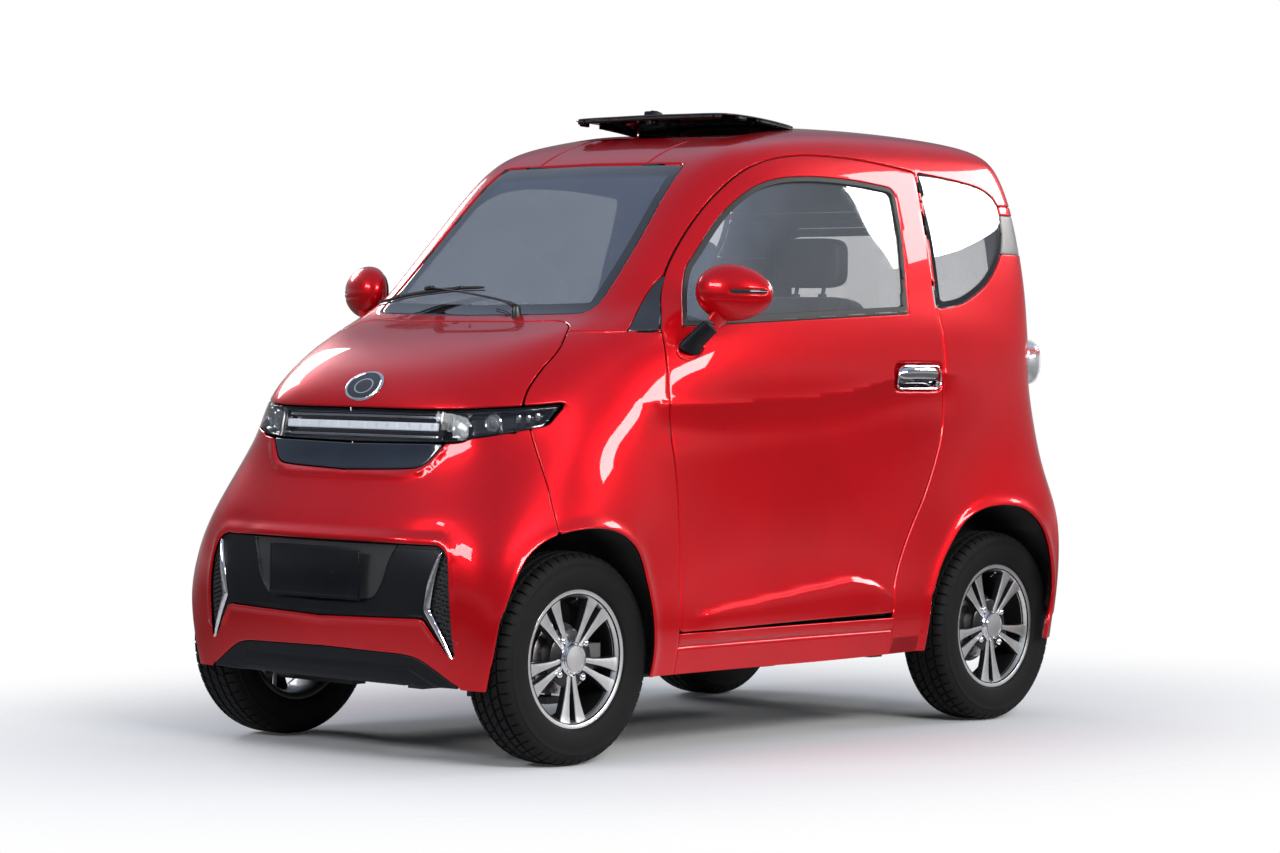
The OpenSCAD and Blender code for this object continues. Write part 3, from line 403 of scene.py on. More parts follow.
def panel(name, f, thick, mats, box=None, sink=0.0, rnd=2.5, bands=(), band_mats=(), target=15.0, mirror=False, sides=(1,), centre=False,
          extra=None, ur=(0, NU), vr=(0, NV), use_relief=True, inner_mat=1, xform=None, creases=()):
    """A panel cut out of the body surface where f < 0. thick: mm or function of P. sides: (1,), (-1,) or (1, -1); centre: spans the middle plane."""
    key = (target, ur, vr)
    if key not in GRIDS:
        uv, T = grid_uv(target, vr[1], ur[0], ur[1], vr[0])
        GRIDS[key] = (uv, T, S(uv[:, 0], uv[:, 1]))
    uv, T, P = GRIDS[key]
    fun = lambda q: f(S(q[:, 0], q[:, 1]))
    d = f(P)
    near = (d[T] < 60).any(1)
    T = T[near]
    used, T = np.unique(T, return_inverse=True); T = T.reshape(-1, 3)
    uv = uv[used]; d = d[used]
    cuts = sorted(set([0.0, -0.12 * rnd, -0.45 * rnd, -rnd] + list(bands)), reverse=True) if rnd > 0 else sorted(set([0.0] + list(bands)), reverse=True)
    for iso in cuts:
        uv, T = split(uv, T, d - iso, fun, iso)
        d = fun(uv)
        if iso == 0.0:
            c = d[T].mean(1) < 0
            # drop triangles outside
            T = T[(d[T].max(1) < 1e-2 + 0.02) | ((d[T] <= 0.05).all(1))]
            T = T[d[T].min(1) < -1e-3]
            used, T = np.unique(T, return_inverse=True); T = T.reshape(-1, 3)
            uv = uv[used]; d = d[used]

    for g_, isos in creases:
        gf = lambda q: g_(S(q[:, 0], q[:, 1]))
        for iso in isos:
            uv, T = split(uv, T, gf(uv) - iso, gf, iso)
    d = fun(uv)

    def place(q):
        B = S(q[:, 0], q[:, 1]); N = SN(q[:, 0], q[:, 1])
        h = -sink + (relief(B) if use_relief else 0)
        if extra is not None:
            h = h + extra(B)
        if rnd > 0:
            g = np.clip(f(B) + rnd, 0, rnd * 0.985)
            h = h - (rnd - np.sqrt(rnd * rnd - g * g))
        return B + N * np.asarray(h)[:, None]
    V0 = place(uv)
    e = 0.004
    um, up = np.clip(uv[:, 0] - e, 0, NU), np.clip(uv[:, 0] + e, 0, NU)
    vm, vp = np.clip(uv[:, 1] - e, 0, NV), np.clip(uv[:, 1] + e, 0, NV)
    du = place(np.stack([up, uv[:, 1]], 1)) - place(np.stack([um, uv[:, 1]], 1))
    dv = place(np.stack([uv[:, 0], vp], 1)) - place(np.stack([uv[:, 0], vm], 1))
    mid = (uv[:, 0] < 1e-6) | (uv[:, 0] > NU - 1e-6)
    N = np.cross(du, dv); N /= np.maximum(np.linalg.norm(N, axis=1, keepdims=True), 1e-12)
    B = S(uv[:, 0], uv[:, 1]); NB = SN(uv[:, 0], uv[:, 1])
    if mid.any():
        N[mid, 0] = 0; N[mid] /= np.maximum(np.linalg.norm(N[mid], axis=1, keepdims=True), 1e-9)
        NB[mid, 0] = 0; NB[mid] /= np.maximum(np.linalg.norm(NB[mid], axis=1, keepdims=True), 1e-9)
    th = thick(B) if callable(thick) else np.full(len(B), float(thick))
    # inner skin follows the smooth surface
    Vi = B - NB * (th + sink)[:, None]
    if mid.any():
        V0[mid, 0] = 0; Vi[mid, 0] = 0
    # boundary edges
    ed = np.concatenate([T[:, [0, 1]], T[:, [1, 2]], T[:, [2, 0]]])
    es = np.sort(ed, 1)
    _, first, cnt = np.unique(es, axis=0, return_index=True, return_counts=True)
    bd = ed[first[cnt == 1]]
    if centre:
        bd = bd[~(mid[bd[:, 0]] & mid[bd[:, 1]])]
    n = len(V0)
    bandi = np.zeros(len(T), int)
    if len(bands):
        cm = d[T].mean(1)
        for k, b in enumerate(sorted(bands, reverse=True)):
            bandi[cm < b] = k + 1
    F_out = T; F_in = (thin_out(Vi, T, bd, mid) if inner_mat is not None else T)[:, ::-1] + n
    F_sk = np.stack([bd[:, 1], bd[:, 0], bd[:, 0] + n, bd[:, 1] + n], 1)
    objs = []
    allV = np.concatenate([V0, Vi]); allN = np.concatenate([N, -NB])
    faces = [tuple(x) for x in F_out] + [tuple(x) for x in F_in] + [tuple(x) for x in F_sk]
    mlist = list(mats) + list(band_mats)
    mo = [0 if b == 0 else len(mats) + b - 1 for b in bandi]
    mi = mo + (mo if inner_mat is None else [inner_mat] * len(F_in)) + [0] * len(F_sk)
    usedv = np.unique(np.concatenate([F_out.ravel(), F_in.ravel(), F_sk.ravel()]))
    if len(usedv) < len(allV):
        remap0 = -np.ones(len(allV), int); remap0[usedv] = np.arange(len(usedv))
        faces = [tuple(x) for x in remap0[F_out]] + [tuple(x) for x in remap0[F_in]] + [tuple(x) for x in remap0[F_sk]]
        allV, allN = allV[usedv], allN[usedv]
        mid2 = np.concatenate([mid, mid])[usedv]
    else:
        mid2 = np.concatenate([mid, mid])
    if centre:
        Vm, Nm = allV * MX, allN * MX
        idm = np.arange(len(allV)) + len(allV)
        midall = mid2
        idm[midall] = np.arange(len(allV))[midall]
        allV2 = np.concatenate([allV, Vm]); allN2 = np.concatenate([allN, Nm])
        f2 = faces + [tuple(int(idm[i]) for i in reversed(x)) for x in faces]
        usedv, invv = np.unique(np.concatenate([np.array(x) for x in f2]), return_inverse=True)
        remap = -np.ones(len(allV2), int); remap[usedv] = np.arange(len(usedv))
        f2 = [tuple(int(remap[i]) for i in x) for x in f2]
        V, Nn = allV2[usedv], allN2[usedv]
        if xform is not None:
            V, Nn = xform(V, Nn)
        objs.append(_mesh(name, V / 1000, f2, Nn, mlist, mi + mi))
    else:
        for s in sides:
            V, Nn, fc = allV, allN, faces
            if s < 0:
                V, Nn, fc = allV * MX, allN * MX, [tuple(reversed(x)) for x in faces]
            if xform is not None:
                V, Nn = xform(V, Nn)
            nm = name if len(sides) == 1 else ("left_" if s > 0 else "right_") + name
            objs.append(_mesh(nm, V / 1000, fc, Nn, mlist, mi))
    return objs


# ------------------------------------------------------------------ materials
def nodes(name):
    m = bpy.data.materials.new(name); m.use_nodes = True
    nt = m.node_tree
    return m, nt, nt.nodes["Principled BSDF"]


def N(nt, kind, **kw):
    n = nt.nodes.new(kind)
    for k, v in kw.items():
        if k in n.inputs:
            n.inputs[k].default_value = v
        else:
            setattr(n, k, v)
    return n


def noise(nt, scale, detail=3.0, rough=0.55, vec=None):
    n = N(nt, "ShaderNodeTexNoise"); n.inputs["Scale"].default_value = scale
    n.inputs["Detail"].default_value = detail; n.inputs["Roughness"].default_value = rough
    if vec is None:
        tc = N(nt, "ShaderNodeTexCoord"); vec = tc.outputs["Object"]
    nt.links.new(vec, n.inputs["Vector"])
    return n.outputs["Fac"]


def ramp(nt, fac, stops):
    r = N(nt, "ShaderNodeValToRGB")
    e = r.color_ramp.elements
    while len(e) < len(stops):
        e.new(0.5)
    for el, (p, c) in zip(e, stops):
        el.position = p; el.color = (*c, 1) if len(c) == 3 else c
    nt.links.new(fac, r.inputs["Fac"])
    return r.outputs["Color"]


def remap(nt, fac, lo, hi):
    m = N(nt, "ShaderNodeMapRange"); m.inputs["To Min"].default_value = lo; m.inputs["To Max"].default_value = hi
    nt.links.new(fac, m.inputs["Value"])
    return m.outputs["Result"]


def bump(nt, bs, h, dist, strength=1.0):
    b = N(nt, "ShaderNodeBump"); b.inputs["Distance"].default_value = dist; b.inputs["Strength"].default_value = strength
    nt.links.new(h, b.inputs["Height"]); nt.links.new(b.outputs["Normal"], bs.inputs["Normal"])
    return b


def setp(bs, **kw):
    for k, v in kw.items():
        bs.inputs[k.replace("_", " ")].default_value = (*v, 1) if isinstance(v, tuple) and len(v) == 3 else v


def mat_paint(name, dark, light, metal=0.55, rough=0.30):
    m, nt, bs = nodes(name)
    tc = N(nt, "ShaderNodeTexCoord")
    fl = N(nt, "ShaderNodeTexVoronoi"); fl.inputs["Scale"].default_value = 1600.0
    nt.links.new(tc.outputs["Object"], fl.inputs["Vector"])
    big = noise(nt, 3.0, 2.0)
    mix = N(nt, "ShaderNodeMix", data_type="FLOAT"); mix.inputs[0].default_value = 0.35
    nt.links.new(fl.outputs["Distance"], mix.inputs[2]); nt.links.new(big, mix.inputs[3])
    nt.links.new(ramp(nt, mix.outputs[0], [(0.15, dark), (0.75, light)]), bs.inputs["Base Color"])
    r = noise(nt, 420.0, 2.0)
    nt.links.new(remap(nt, r, rough - 0.05, rough + 0.07), bs.inputs["Roughness"])
    peel = noise(nt, 210.0, 1.0)
    bump(nt, bs, peel, 0.00004, 0.35)
    bs.inputs["Specular IOR Level"].default_value = 0.06
    setp(bs, Metallic=metal, Coat_Weight=1.0, Coat_Roughness=0.015, Coat_IOR=1.36)
    return m


def mat_plastic(name, col, rough, grain=900.0, depth=0.00008, spec=0.5, coat=0.0, var=0.25):
    m, nt, bs = nodes(name)
    g = noise(nt, grain, 3.0); big = noise(nt, 7.0, 4.0)
    lo = tuple(c * (1 - var) for c in col); hi = tuple(c * (1 + var) for c in col)
    nt.links.new(ramp(nt, big, [(0.3, lo), (0.7, hi)]), bs.inputs["Base Color"])
    nt.links.new(remap(nt, big, max(0.02, rough - 0.06), rough + 0.08), bs.inputs["Roughness"])
    bump(nt, bs, g, depth, 0.6)
    bs.inputs["Specular IOR Level"].default_value = spec
    if coat:
        setp(bs, Coat_Weight=coat, Coat_Roughness=0.03)
    return m


def mat_metal(name, col, rough, grain=300.0, depth=0.00003, var=0.12, metal=1.0):
    m, nt, bs = nodes(name)
    g = noise(nt, grain, 3.0); big = noise(nt, 9.0, 3.0)
    nt.links.new(ramp(nt, big, [(0.3, tuple(c * (1 - var) for c in col)), (0.7, tuple(min(1, c * (1 + var)) for c in col))]), bs.inputs["Base Color"])
    nt.links.new(remap(nt, g, max(0.02, rough - 0.04), rough + 0.05), bs.inputs["Roughness"])
    bump(nt, bs, g, depth, 0.4)
    setp(bs, Metallic=metal)
    return m


def mat_glass(name, tint, alpha, rough=0.01, metal=0.0):
    """Thin tinted pane: a clear share and a gloss that Fresnel strengthens."""
    m, nt, bs = nodes(name)
    big = noise(nt, 4.0, 2.0)
    nt.links.new(ramp(nt, big, [(0.3, tuple(c * 0.9 for c in tint)), (0.7, tuple(min(1, c * 1.1) for c in tint))]), bs.inputs["Base Color"])
    nt.links.new(remap(nt, big, rough, rough + 0.012), bs.inputs["Roughness"])
    lw = N(nt, "ShaderNodeLayerWeight"); lw.inputs["Blend"].default_value = 0.5
    pw = N(nt, "ShaderNodeMath", operation="POWER"); pw.inputs[1].default_value = 4.0
    nt.links.new(lw.outputs["Facing"], pw.inputs[0])
    ma = N(nt, "ShaderNodeMath", operation="MULTIPLY_ADD"); ma.inputs[1].default_value = 0.85 * (1 - alpha); ma.inputs[2].default_value = alpha + 0.035; ma.use_clamp = True
    nt.links.new(pw.outputs[0], ma.inputs[0])
    nt.links.new(ma.outputs[0], bs.inputs["Alpha"])
    setp(bs, Coat_Weight=0.6, Coat_Roughness=0.01, Metallic=metal)
    bs.inputs["Specular IOR Level"].default_value = 0.8
    m.surface_render_method = "BLENDED"
    return m


RED = mat_paint("body_paint", (0.30, 0.0006, 0.0030), (0.68, 0.0030, 0.0095))
RED_IN = mat_plastic("painted_inner_skin", (0.10, 0.004, 0.006), 0.5, 400.0)
BLACK = mat_plastic("black_grained_plastic", (0.0040, 0.0046, 0.0066), 0.42, 1300.0, 0.00008, spec=0.20)
GLOSS = mat_plastic("gloss_black_plastic", (0.008, 0.008, 0.010), 0.10, 500.0, 0.00002, coat=1.0)
TRIM = mat_plastic("cabin_trim", (0.030, 0.030, 0.033), 0.6, 800.0, 0.0002)
TRIML = mat_plastic("cabin_lining", (0.10, 0.10, 0.105), 0.75, 1500.0, 0.0002)
LINER = mat_plastic("arch_liner", (0.022, 0.022, 0.023), 0.78, 500.0, 0.0004)
PLATE = mat_plastic("plate_black", (0.0034, 0.0042, 0.0066), 0.28, 900.0, 0.00003, spec=0.24)
SEAL = mat_plastic("rubber_seal", (0.012, 0.012, 0.012), 0.55, 900.0, 0.00006)
WIPERM = mat_plastic("wiper_black", (0.012, 0.012, 0.013), 0.35, 1200.0, 0.00006)
FRIT = mat_plastic("glass_black_border", (0.006, 0.006, 0.007), 0.05, 600.0, 0.00001, coat=1.0)
CHROME = mat_metal("chrome", (0.78, 0.78, 0.80), 0.07, 200.0, 0.00001)
STEEL = mat_metal("coated_frame_steel", (0.035, 0.035, 0.037), 0.5, 400.0, 0.0001, metal=0.3)
IRON = mat_metal("cast_iron", (0.16, 0.155, 0.15), 0.55, 500.0, 0.0003, metal=0.8)
DISC = mat_metal("brake_disc", (0.38, 0.37, 0.36), 0.3, 700.0, 0.00005)
CASE = mat_plastic("battery_case", (0.08, 0.09, 0.10), 0.5, 600.0, 0.0002)
GREY = mat_plastic("grey_pillar_band", (0.19, 0.18, 0.17), 0.35, 900.0, 0.00005)
WGLASS = mat_glass("windscreen_glass", (0.075, 0.095, 0.135), 0.56)
SGLASS = mat_glass("side_glass", (0.80, 0.83, 0.86), 0.20, metal=0.9)
DGLASS = mat_glass("roof_glass", (0.012, 0.013, 0.016), 0.88)
LENS = mat_glass("smoked_lens", (0.012, 0.016, 0.024), 0.07)
CLEAR = mat_glass("clear_lens", (0.80, 0.82, 0.84), 0.16)
REDLENS = mat_glass("red_lens", (0.45, 0.01, 0.012), 0.62)
LED = mat_plastic("led_strip_white", (0.72, 0.74, 0.78), 0.35, 300.0, 0.0001, var=0.08)
LED.node_tree.nodes["Principled BSDF"].inputs["Emission Color"].default_value = (0.70, 0.78, 0.92, 1)
LED.node_tree.nodes["Principled BSDF"].inputs["Emission Strength"].default_value = 0.35
NAVY = mat_plastic("nose_glass_navy", (0.010, 0.016, 0.028), 0.06, 500.0, 0.00001, coat=1.0)
# satin grey trim for the window ledge, wheel spoke inserts and dash vents; on the window ledge the grey base colour
# also paints in the sky reflection
SATIN_GREY_AND_PAINTED_SKY_REFLECTION = mat_plastic("satin_grey_and_painted_sky_reflection", (0.085, 0.087, 0.09), 0.34, 700.0, 0.00003)
REFLECT = mat_metal("lamp_reflector", (0.62, 0.64, 0.68), 0.16, 200.0, 0.00002)

REG = []


def done(ob, body, slot, *reps):
    if isinstance(ob, (list, tuple)):
        for o in ob:
            done(o, body, slot, *reps)
        return ob
    if body:
        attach(ob, body)
    if reps:
        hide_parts(*reps)
    return ob


# ------------------------------------------------------------------ creases, lips and steps of the body
def pl_dist(pts):
    """signed distance from an open line in the side view (y, z): above is positive; also the distance along it from its nearer end"""
    P_ = np.array(pts, float)

    def f(P):
        y, z = P[..., 1], P[..., 2]
        best = np.full(y.shape, 1e9); sgn = np.ones(y.shape); al = np.zeros(y.shape)
        L = 0
        tot = np.linalg.norm(np.diff(P_, axis=0), axis=1).sum()
        for a, b in zip(P_[:-1], P_[1:]):
            e = b - a; le = np.linalg.norm(e)
            t = np.clip(((y - a[0]) * e[0] + (z - a[1]) * e[1]) / le ** 2, 0, 1)
            dy, dz = y - (a[0] + e[0] * t), z - (a[1] + e[1] * t)
            d = np.hypot(dy, dz)
            m = d < best
            best = np.where(m, d, best)
            sgn = np.where(m, np.sign(e[0] * dz - e[1] * dy), sgn)
            al = np.where(m, L + le * t, al)
            L += le
        return best * sgn, np.minimum(al, tot - al)
    return f


def smooth(x):
    x = np.clip(x, 0, 1); return x * x * (3 - 2 * x)


SH = pl_dist([(-640, 862), (-518, 856), (-360, 856), (-200, 861), (0, 870), (149, 885), (311, 916), (400, 926), (543, 934), (640, 930)])
LO = pl_dist([(-450, 330), (-383, 340), (-200, 358), (0, 378), (172, 396), (250, 386), (300, 368), (350, 342)])


def shoulder(P):
    d, al = SH(P)
    w = smooth(al / 120.0) * (np.abs(P[..., 0]) > 380)
    # a soft hollow below the shoulder and a crisp edge above it
    ridge = np.exp(-np.abs(d) / 16.0) * 3.2
    hollow = -4.0 * np.exp(-((d + 60) / 42.0) ** 2)
    return w * (ridge + hollow)


def low_edge(P):
    d, al = LO(P)
    w = smooth(al / 90.0) * (np.abs(P[..., 0]) > 380)
    out = np.where(d < 0, 7.0 * np.exp(-(d / 60.0) ** 2), 7.0 * np.exp(-(d / 11.0) ** 2))
    return w * out


def lips(P):
    a = np.minimum(fAF(P), fAR(P))
    side_ = (np.abs(P[..., 0]) > 380)
    return side_ * 5.0 * np.exp(-(np.maximum(a, 0) / 17.0) ** 2) * (P[..., 2] > 150)


def nose_lines(P):
    """edge over the black panel and the pulled-in face round it"""
    x, z = np.abs(P[..., 0]), P[..., 2]
    fr = P[..., 1] < -860
    g = fG(P)
    top = smooth((z - 480) / 40.0)
    # a bulging shelf along the top edge that dies away to the corners, with a dimple over each corner
    shelf = 10.0 * np.exp(-((g - 10) / 13.0) ** 2) * (0.35 + 0.65 * smooth((300 - x) / 90.0))
    dimple = -2.6 * np.exp(-((x - 335) / 52.0) ** 2 - ((z - 560) / 15.0) ** 2)
    # soft rim under the dark glass
    g2 = fN(P)
    dimple = dimple + (z < 762) * 4.5 * np.exp(-((g2 - 13) / 7.5) ** 2) * smooth((762 - z) / 30.0)
    side_lip = 3.0 * np.exp(-((g - 5) / 6.0) ** 2)
    return fr * ((z > 300) * (top * shelf + (1 - top) * side_lip) + dimple) * smooth((475 - x) / 40)


HEIGHTS = [shoulder, low_edge, lips, nose_lines]

# ------------------------------------------------------------------ body panels
GAP = 4.0
skin = 4.0
CRE = [(lambda P: SH(P)[0], [12.0, 0.0, -14.0]), (lambda P: LO(P)[0], [9.0, 0.0, -20.0]), (lambda P: np.minimum(fAF(P), fAR(P)), [22.0, 12.0, 5.0])]
fHz = lambda P: np.maximum(fH(P), 790.0 - P[..., 2])
TRI = [(-604, 1033, 5), (-523, 1035, 3), (-472, 1112), (-428, 1172, 3), (-452, 1158), (-520, 1098)]
fT = lambda P: np.maximum(TRIs(P), P[..., 1])
TRIs = side(TRI, 8.0)
GRV = lambda P: np.where((P[..., 1] < 5) & (P[..., 2] > 1462), np.abs(np.abs(P[..., 0]) - 188.0), 60.0)


def roof_groove(P):
    return -2.6 * np.exp(-(GRV(P) / 3.2) ** 2)


HEIGHTS.append(roof_groove)
hood = panel("hood_panel", minus(inter(fH, zmin(834.0), ymax(-300)), (fL, GAP), (fN, GAP)), 9.0, [RED, RED_IN], centre=True)
done(hood, "hood_body", "body_paint", "hood")

f_fender = minus(inter(fFE, ymax(0)), (fHz, GAP), (fL, GAP), (fN, GAP), (fD, GAP), (fAF, 0.0), (fTF, 1.0), (fT, 1.0))
fend = panel("front_fender", f_fender, skin, [RED, LINER], sides=(1, -1), creases=CRE)
done(fend, "car_body", "body_paint", "front_fenders")

f_bump = minus(inter(zmax(862.0), ymax(-700)), (fFE, 1.5), (fHz, GAP), (fL, GAP), (fN, 1.5), (fG, 1.0), (fLip, 1.0), (fAF, 0.0), (fTF, 1.0))
bum = panel("front_bumper_skin", f_bump, skin, [RED, LINER], centre=True, creases=[(lambda P: fG(P), [26.0, 14.0, 7.0]), (lambda P: fAF(P), [22.0, 12.0, 5.0])])
done(bum, "car_body", "body_paint", "front_bumper")

f_cab_line = lambda P: np.where(P[..., 1] < -514, 1030.0, np.where(P[..., 1] < 538, 1030 + (P[..., 1] + 514) * 356 / 1052.0, 1387.0)) - P[..., 2]
f_cab = minus(f_cab_line, (lambda P: np.where(P[..., 1] < 100, fWS(P), 1e3), 1.5), (fHz, GAP), (fRO, 5.0), (fD, GAP), (fQ, 1.0), (fT, 1.0),
              (lambda P: np.where(P[..., 1] > 0, fTG(P), 1e3), GAP))
cab = panel("cabin_shell", f_cab, lambda P: np.where(P[..., 2] > 1100, 16.0, 8.0), [RED, TRIML], centre=True,
            creases=[(lambda P: np.where((P[..., 1] < 5) & (P[..., 2] > 1462), np.abs(P[..., 0]) - 188.0, 60.0), [8.0, 4.0, 1.6, 0.0, -1.6, -4.0, -8.0])])
done(cab, "car_body", "body_paint", "cabin_frame")

fBand = inter(zmin(1256.0), zmax(1361.0), ymin(700.0))
f_rq = minus(inter(ymin(344.0), zmin(190.0), zmax(1385.0)), (fD, GAP), (fQ, 1.0), (fTG, GAP), (fAR, 0.0), (fRB, 1.0), (fTRr, 1.0),
             (lambda P: np.abs(P[..., 0]) - 150.0, 0.0))
f_rqb = minus(f_rq, (fBand, 0.6))
rq = panel("rear_quarter", f_rqb, lambda P: np.where(P[..., 2] > 1100, 16.0, 8.0), [RED, TRIML], sides=(1, -1), creases=CRE)
done(rq, "car_body", "body_paint", "rear_quarters")
bandp = panel("pillar_band", inter(f_rq, lambda P: fBand(P) + 0.6), 14.0, [GREY, TRIML], sides=(1, -1), sink=1.2)
done(bandp, "car_body", "black_plastic")

f_rb = minus(inter(fRB, lambda P: 258.0 + 26.0 * smooth((np.abs(P[..., 0]) - 540.0) / 40.0) - P[..., 2]), (lambda P: fTG(P), GAP), (fAR, 0.0), (fTRr, 1.0))
rb = panel("rear_bumper_skin", f_rb, skin, [RED, LINER], centre=True, creases=[(lambda P: fAR(P), [22.0, 12.0, 5.0])])
done(rb, "car_body", "body_paint", "rear_bumper")

f_sill = minus(inter(ymin(-497.0), ymax(488.0), zmax(299.0), zmin(191.0)), (fAF, 0.0), (fAR, 0.0), (fTF, 1.0))
sill = panel("side_sill", f_sill, 9.0, [RED, LINER], sides=(1, -1), creases=[(lambda P: P[..., 2] - 268.0, [3.0, 0.0, -3.0])],
             extra=lambda P: -3.5 * np.exp(-((P[..., 2] - 268.0) / 3.5) ** 2))
done(sill, "car_body", "body_paint", "side_sills")

# the doors: a dished recess behind the handle, an outer skin, a trimmed inner side
RECESS = side([(332, 884, 26), (541, 884, 26), (541, 962, 26), (332, 962, 26)], 8.0)


def recess(P):
    return -16.0 * smooth((6.0 - RECESS(P)) / 22.0)


f_door = minus(fD, (fW, 0.5))
dr = panel("door_skin", f_door, lambda P: np.where(P[..., 2] > 1100, 20.0, 9.0) + np.where(RECESS(P) < 30, 12.0, 0.0), [RED, TRIM], sides=(1, -1), creases=CRE + [(RECESS, [6.0, -4.0, -14.0])],
           extra=recess)
done(dr[0], "left_door_body", "body_paint", "left_door"); done(dr[1], "right_door_body", "body_paint", "right_door")

f_gate = minus(inter(fTG, ymin(0.0)), (fTGG, 0.5))
gt = panel("tailgate_skin", f_gate, 14.0, [RED, TRIM], centre=True)
done(gt, "tailgate_body", "body_paint", "tailgate")
# weather strips behind the gaps of the tailgate and the doors
gs = panel("tailgate_opening_seal", inter(lambda P: np.abs(fTG(P)) - 11.0, ymin(0.0)), 3.0, [SEAL, SEAL], sink=18.0, rnd=0.8, centre=True, ur=(7, NU), target=20.0, use_relief=False)
done(gs, "car_body", "black_plastic")
for s_, b_ in ((1, "left"), (-1, "right")):
    gs = panel(b_ + "_door_opening_seal", inter(lambda P: np.abs(fD(P)) - 11.0, lambda P: -330.0 - 140.0 * smooth((P[..., 2] - 1000.0) / 120.0) - P[..., 1]), 3.0, [SEAL, SEAL], sink=24.0, rnd=0.8, sides=(s_,), target=20.0, use_relief=False)
    done(gs, "car_body", "black_plastic")

# ------------------------------------------------------------------ glass, seals and black trim on the skin
FRONT, REAR = (0, 7), (7, NU)
ws = panel("windscreen", inter(lambda P: fWS(P) + 1.5, ymax(100)), 5.0, [FRIT], sink=3.0, rnd=1.5, bands=[-26.0], band_mats=[WGLASS], inner_mat=None, centre=True, ur=(0, 8), target=19.0, use_relief=False)
done(ws, "car_body", "glass", "windshield")
wseal = panel("windscreen_seal", inter(lambda P: fWS(P) - 1.2, lambda P: -(fWS(P) + 1.2), ymax(100)), 6.0, [SEAL, SEAL], sink=1.0, rnd=1.0, centre=True, ur=(0, 8), target=14.0, use_relief=False)
done(wseal, "car_body", "wiper_black")
for s_, b_ in ((1, "left"), (-1, "right")):
    g_ = panel(b_ + "_door_window", lambda P: fW(P) + 0.8, 5.0, [SGLASS], sink=8.0, rnd=1.0, inner_mat=0, target=20.0, sides=(s_,), use_relief=False)
    done(g_, b_ + "_door_body", "glass", b_ + "_door_glass")
    low = lambda P: np.where(P[..., 2] < 1100 + 0.1 * P[..., 1], 20.0, 13.0)
    g_ = panel(b_ + "_door_window_seal", lambda P: np.maximum(fW(P) - 0.2, -(fW(P) + low(P))), 7.0, [SEAL, SEAL], sink=1.2, rnd=2.0, sides=(s_,), target=14.0, use_relief=False)
    done(g_, b_ + "_door_body", "black_plastic")
    g_ = panel(b_ + "_quarter_window", lambda P: fQ(P) + 0.6, 5.0, [FRIT], sink=3.0, rnd=1.5, bands=[-16.0], band_mats=[SGLASS], inner_mat=None, sides=(s_,), target=20.0, use_relief=False)
    done(g_, "car_body", "glass")
    g_ = panel(b_ + "_quarter_seal", lambda P: np.maximum(fQ(P) - 0.7, -(fQ(P) + 2.0)), 6.0, [SEAL, SEAL], sink=1.0, rnd=1.0, sides=(s_,), target=14.0, use_relief=False)
    done(g_, "car_body", "wiper_black")
    g_ = panel(b_ + "_pillar_triangle", lambda P: fT(P) + 0.6, 5.0, [GLOSS, LINER], sink=0.8, rnd=1.2, sides=(s_,), target=14.0, use_relief=False)
    done(g_, "car_body", "gloss_black")
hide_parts("quarter_windows"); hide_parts("quarter_windows")
tg = panel("tailgate_window", inter(lambda P: fTGG(P) + 0.6, ymin(0)), 5.0, [FRIT], sink=5.0, rnd=1.5, bands=[-24.0], band_mats=[SGLASS], inner_mat=None, centre=True, ur=REAR, target=20.0, use_relief=False)
done(tg, "tailgate_body", "glass", "tailgate_glass")
tgs = panel("tailgate_seal", inter(lambda P: fTGG(P) - 0.2, lambda P: -(fTGG(P) + 3.0), ymin(0)), 7.0, [SEAL, SEAL], sink=2.0, rnd=1.2, centre=True, ur=REAR, target=14.0, use_relief=False)
done(tgs, "tailgate_body", "wiper_black")


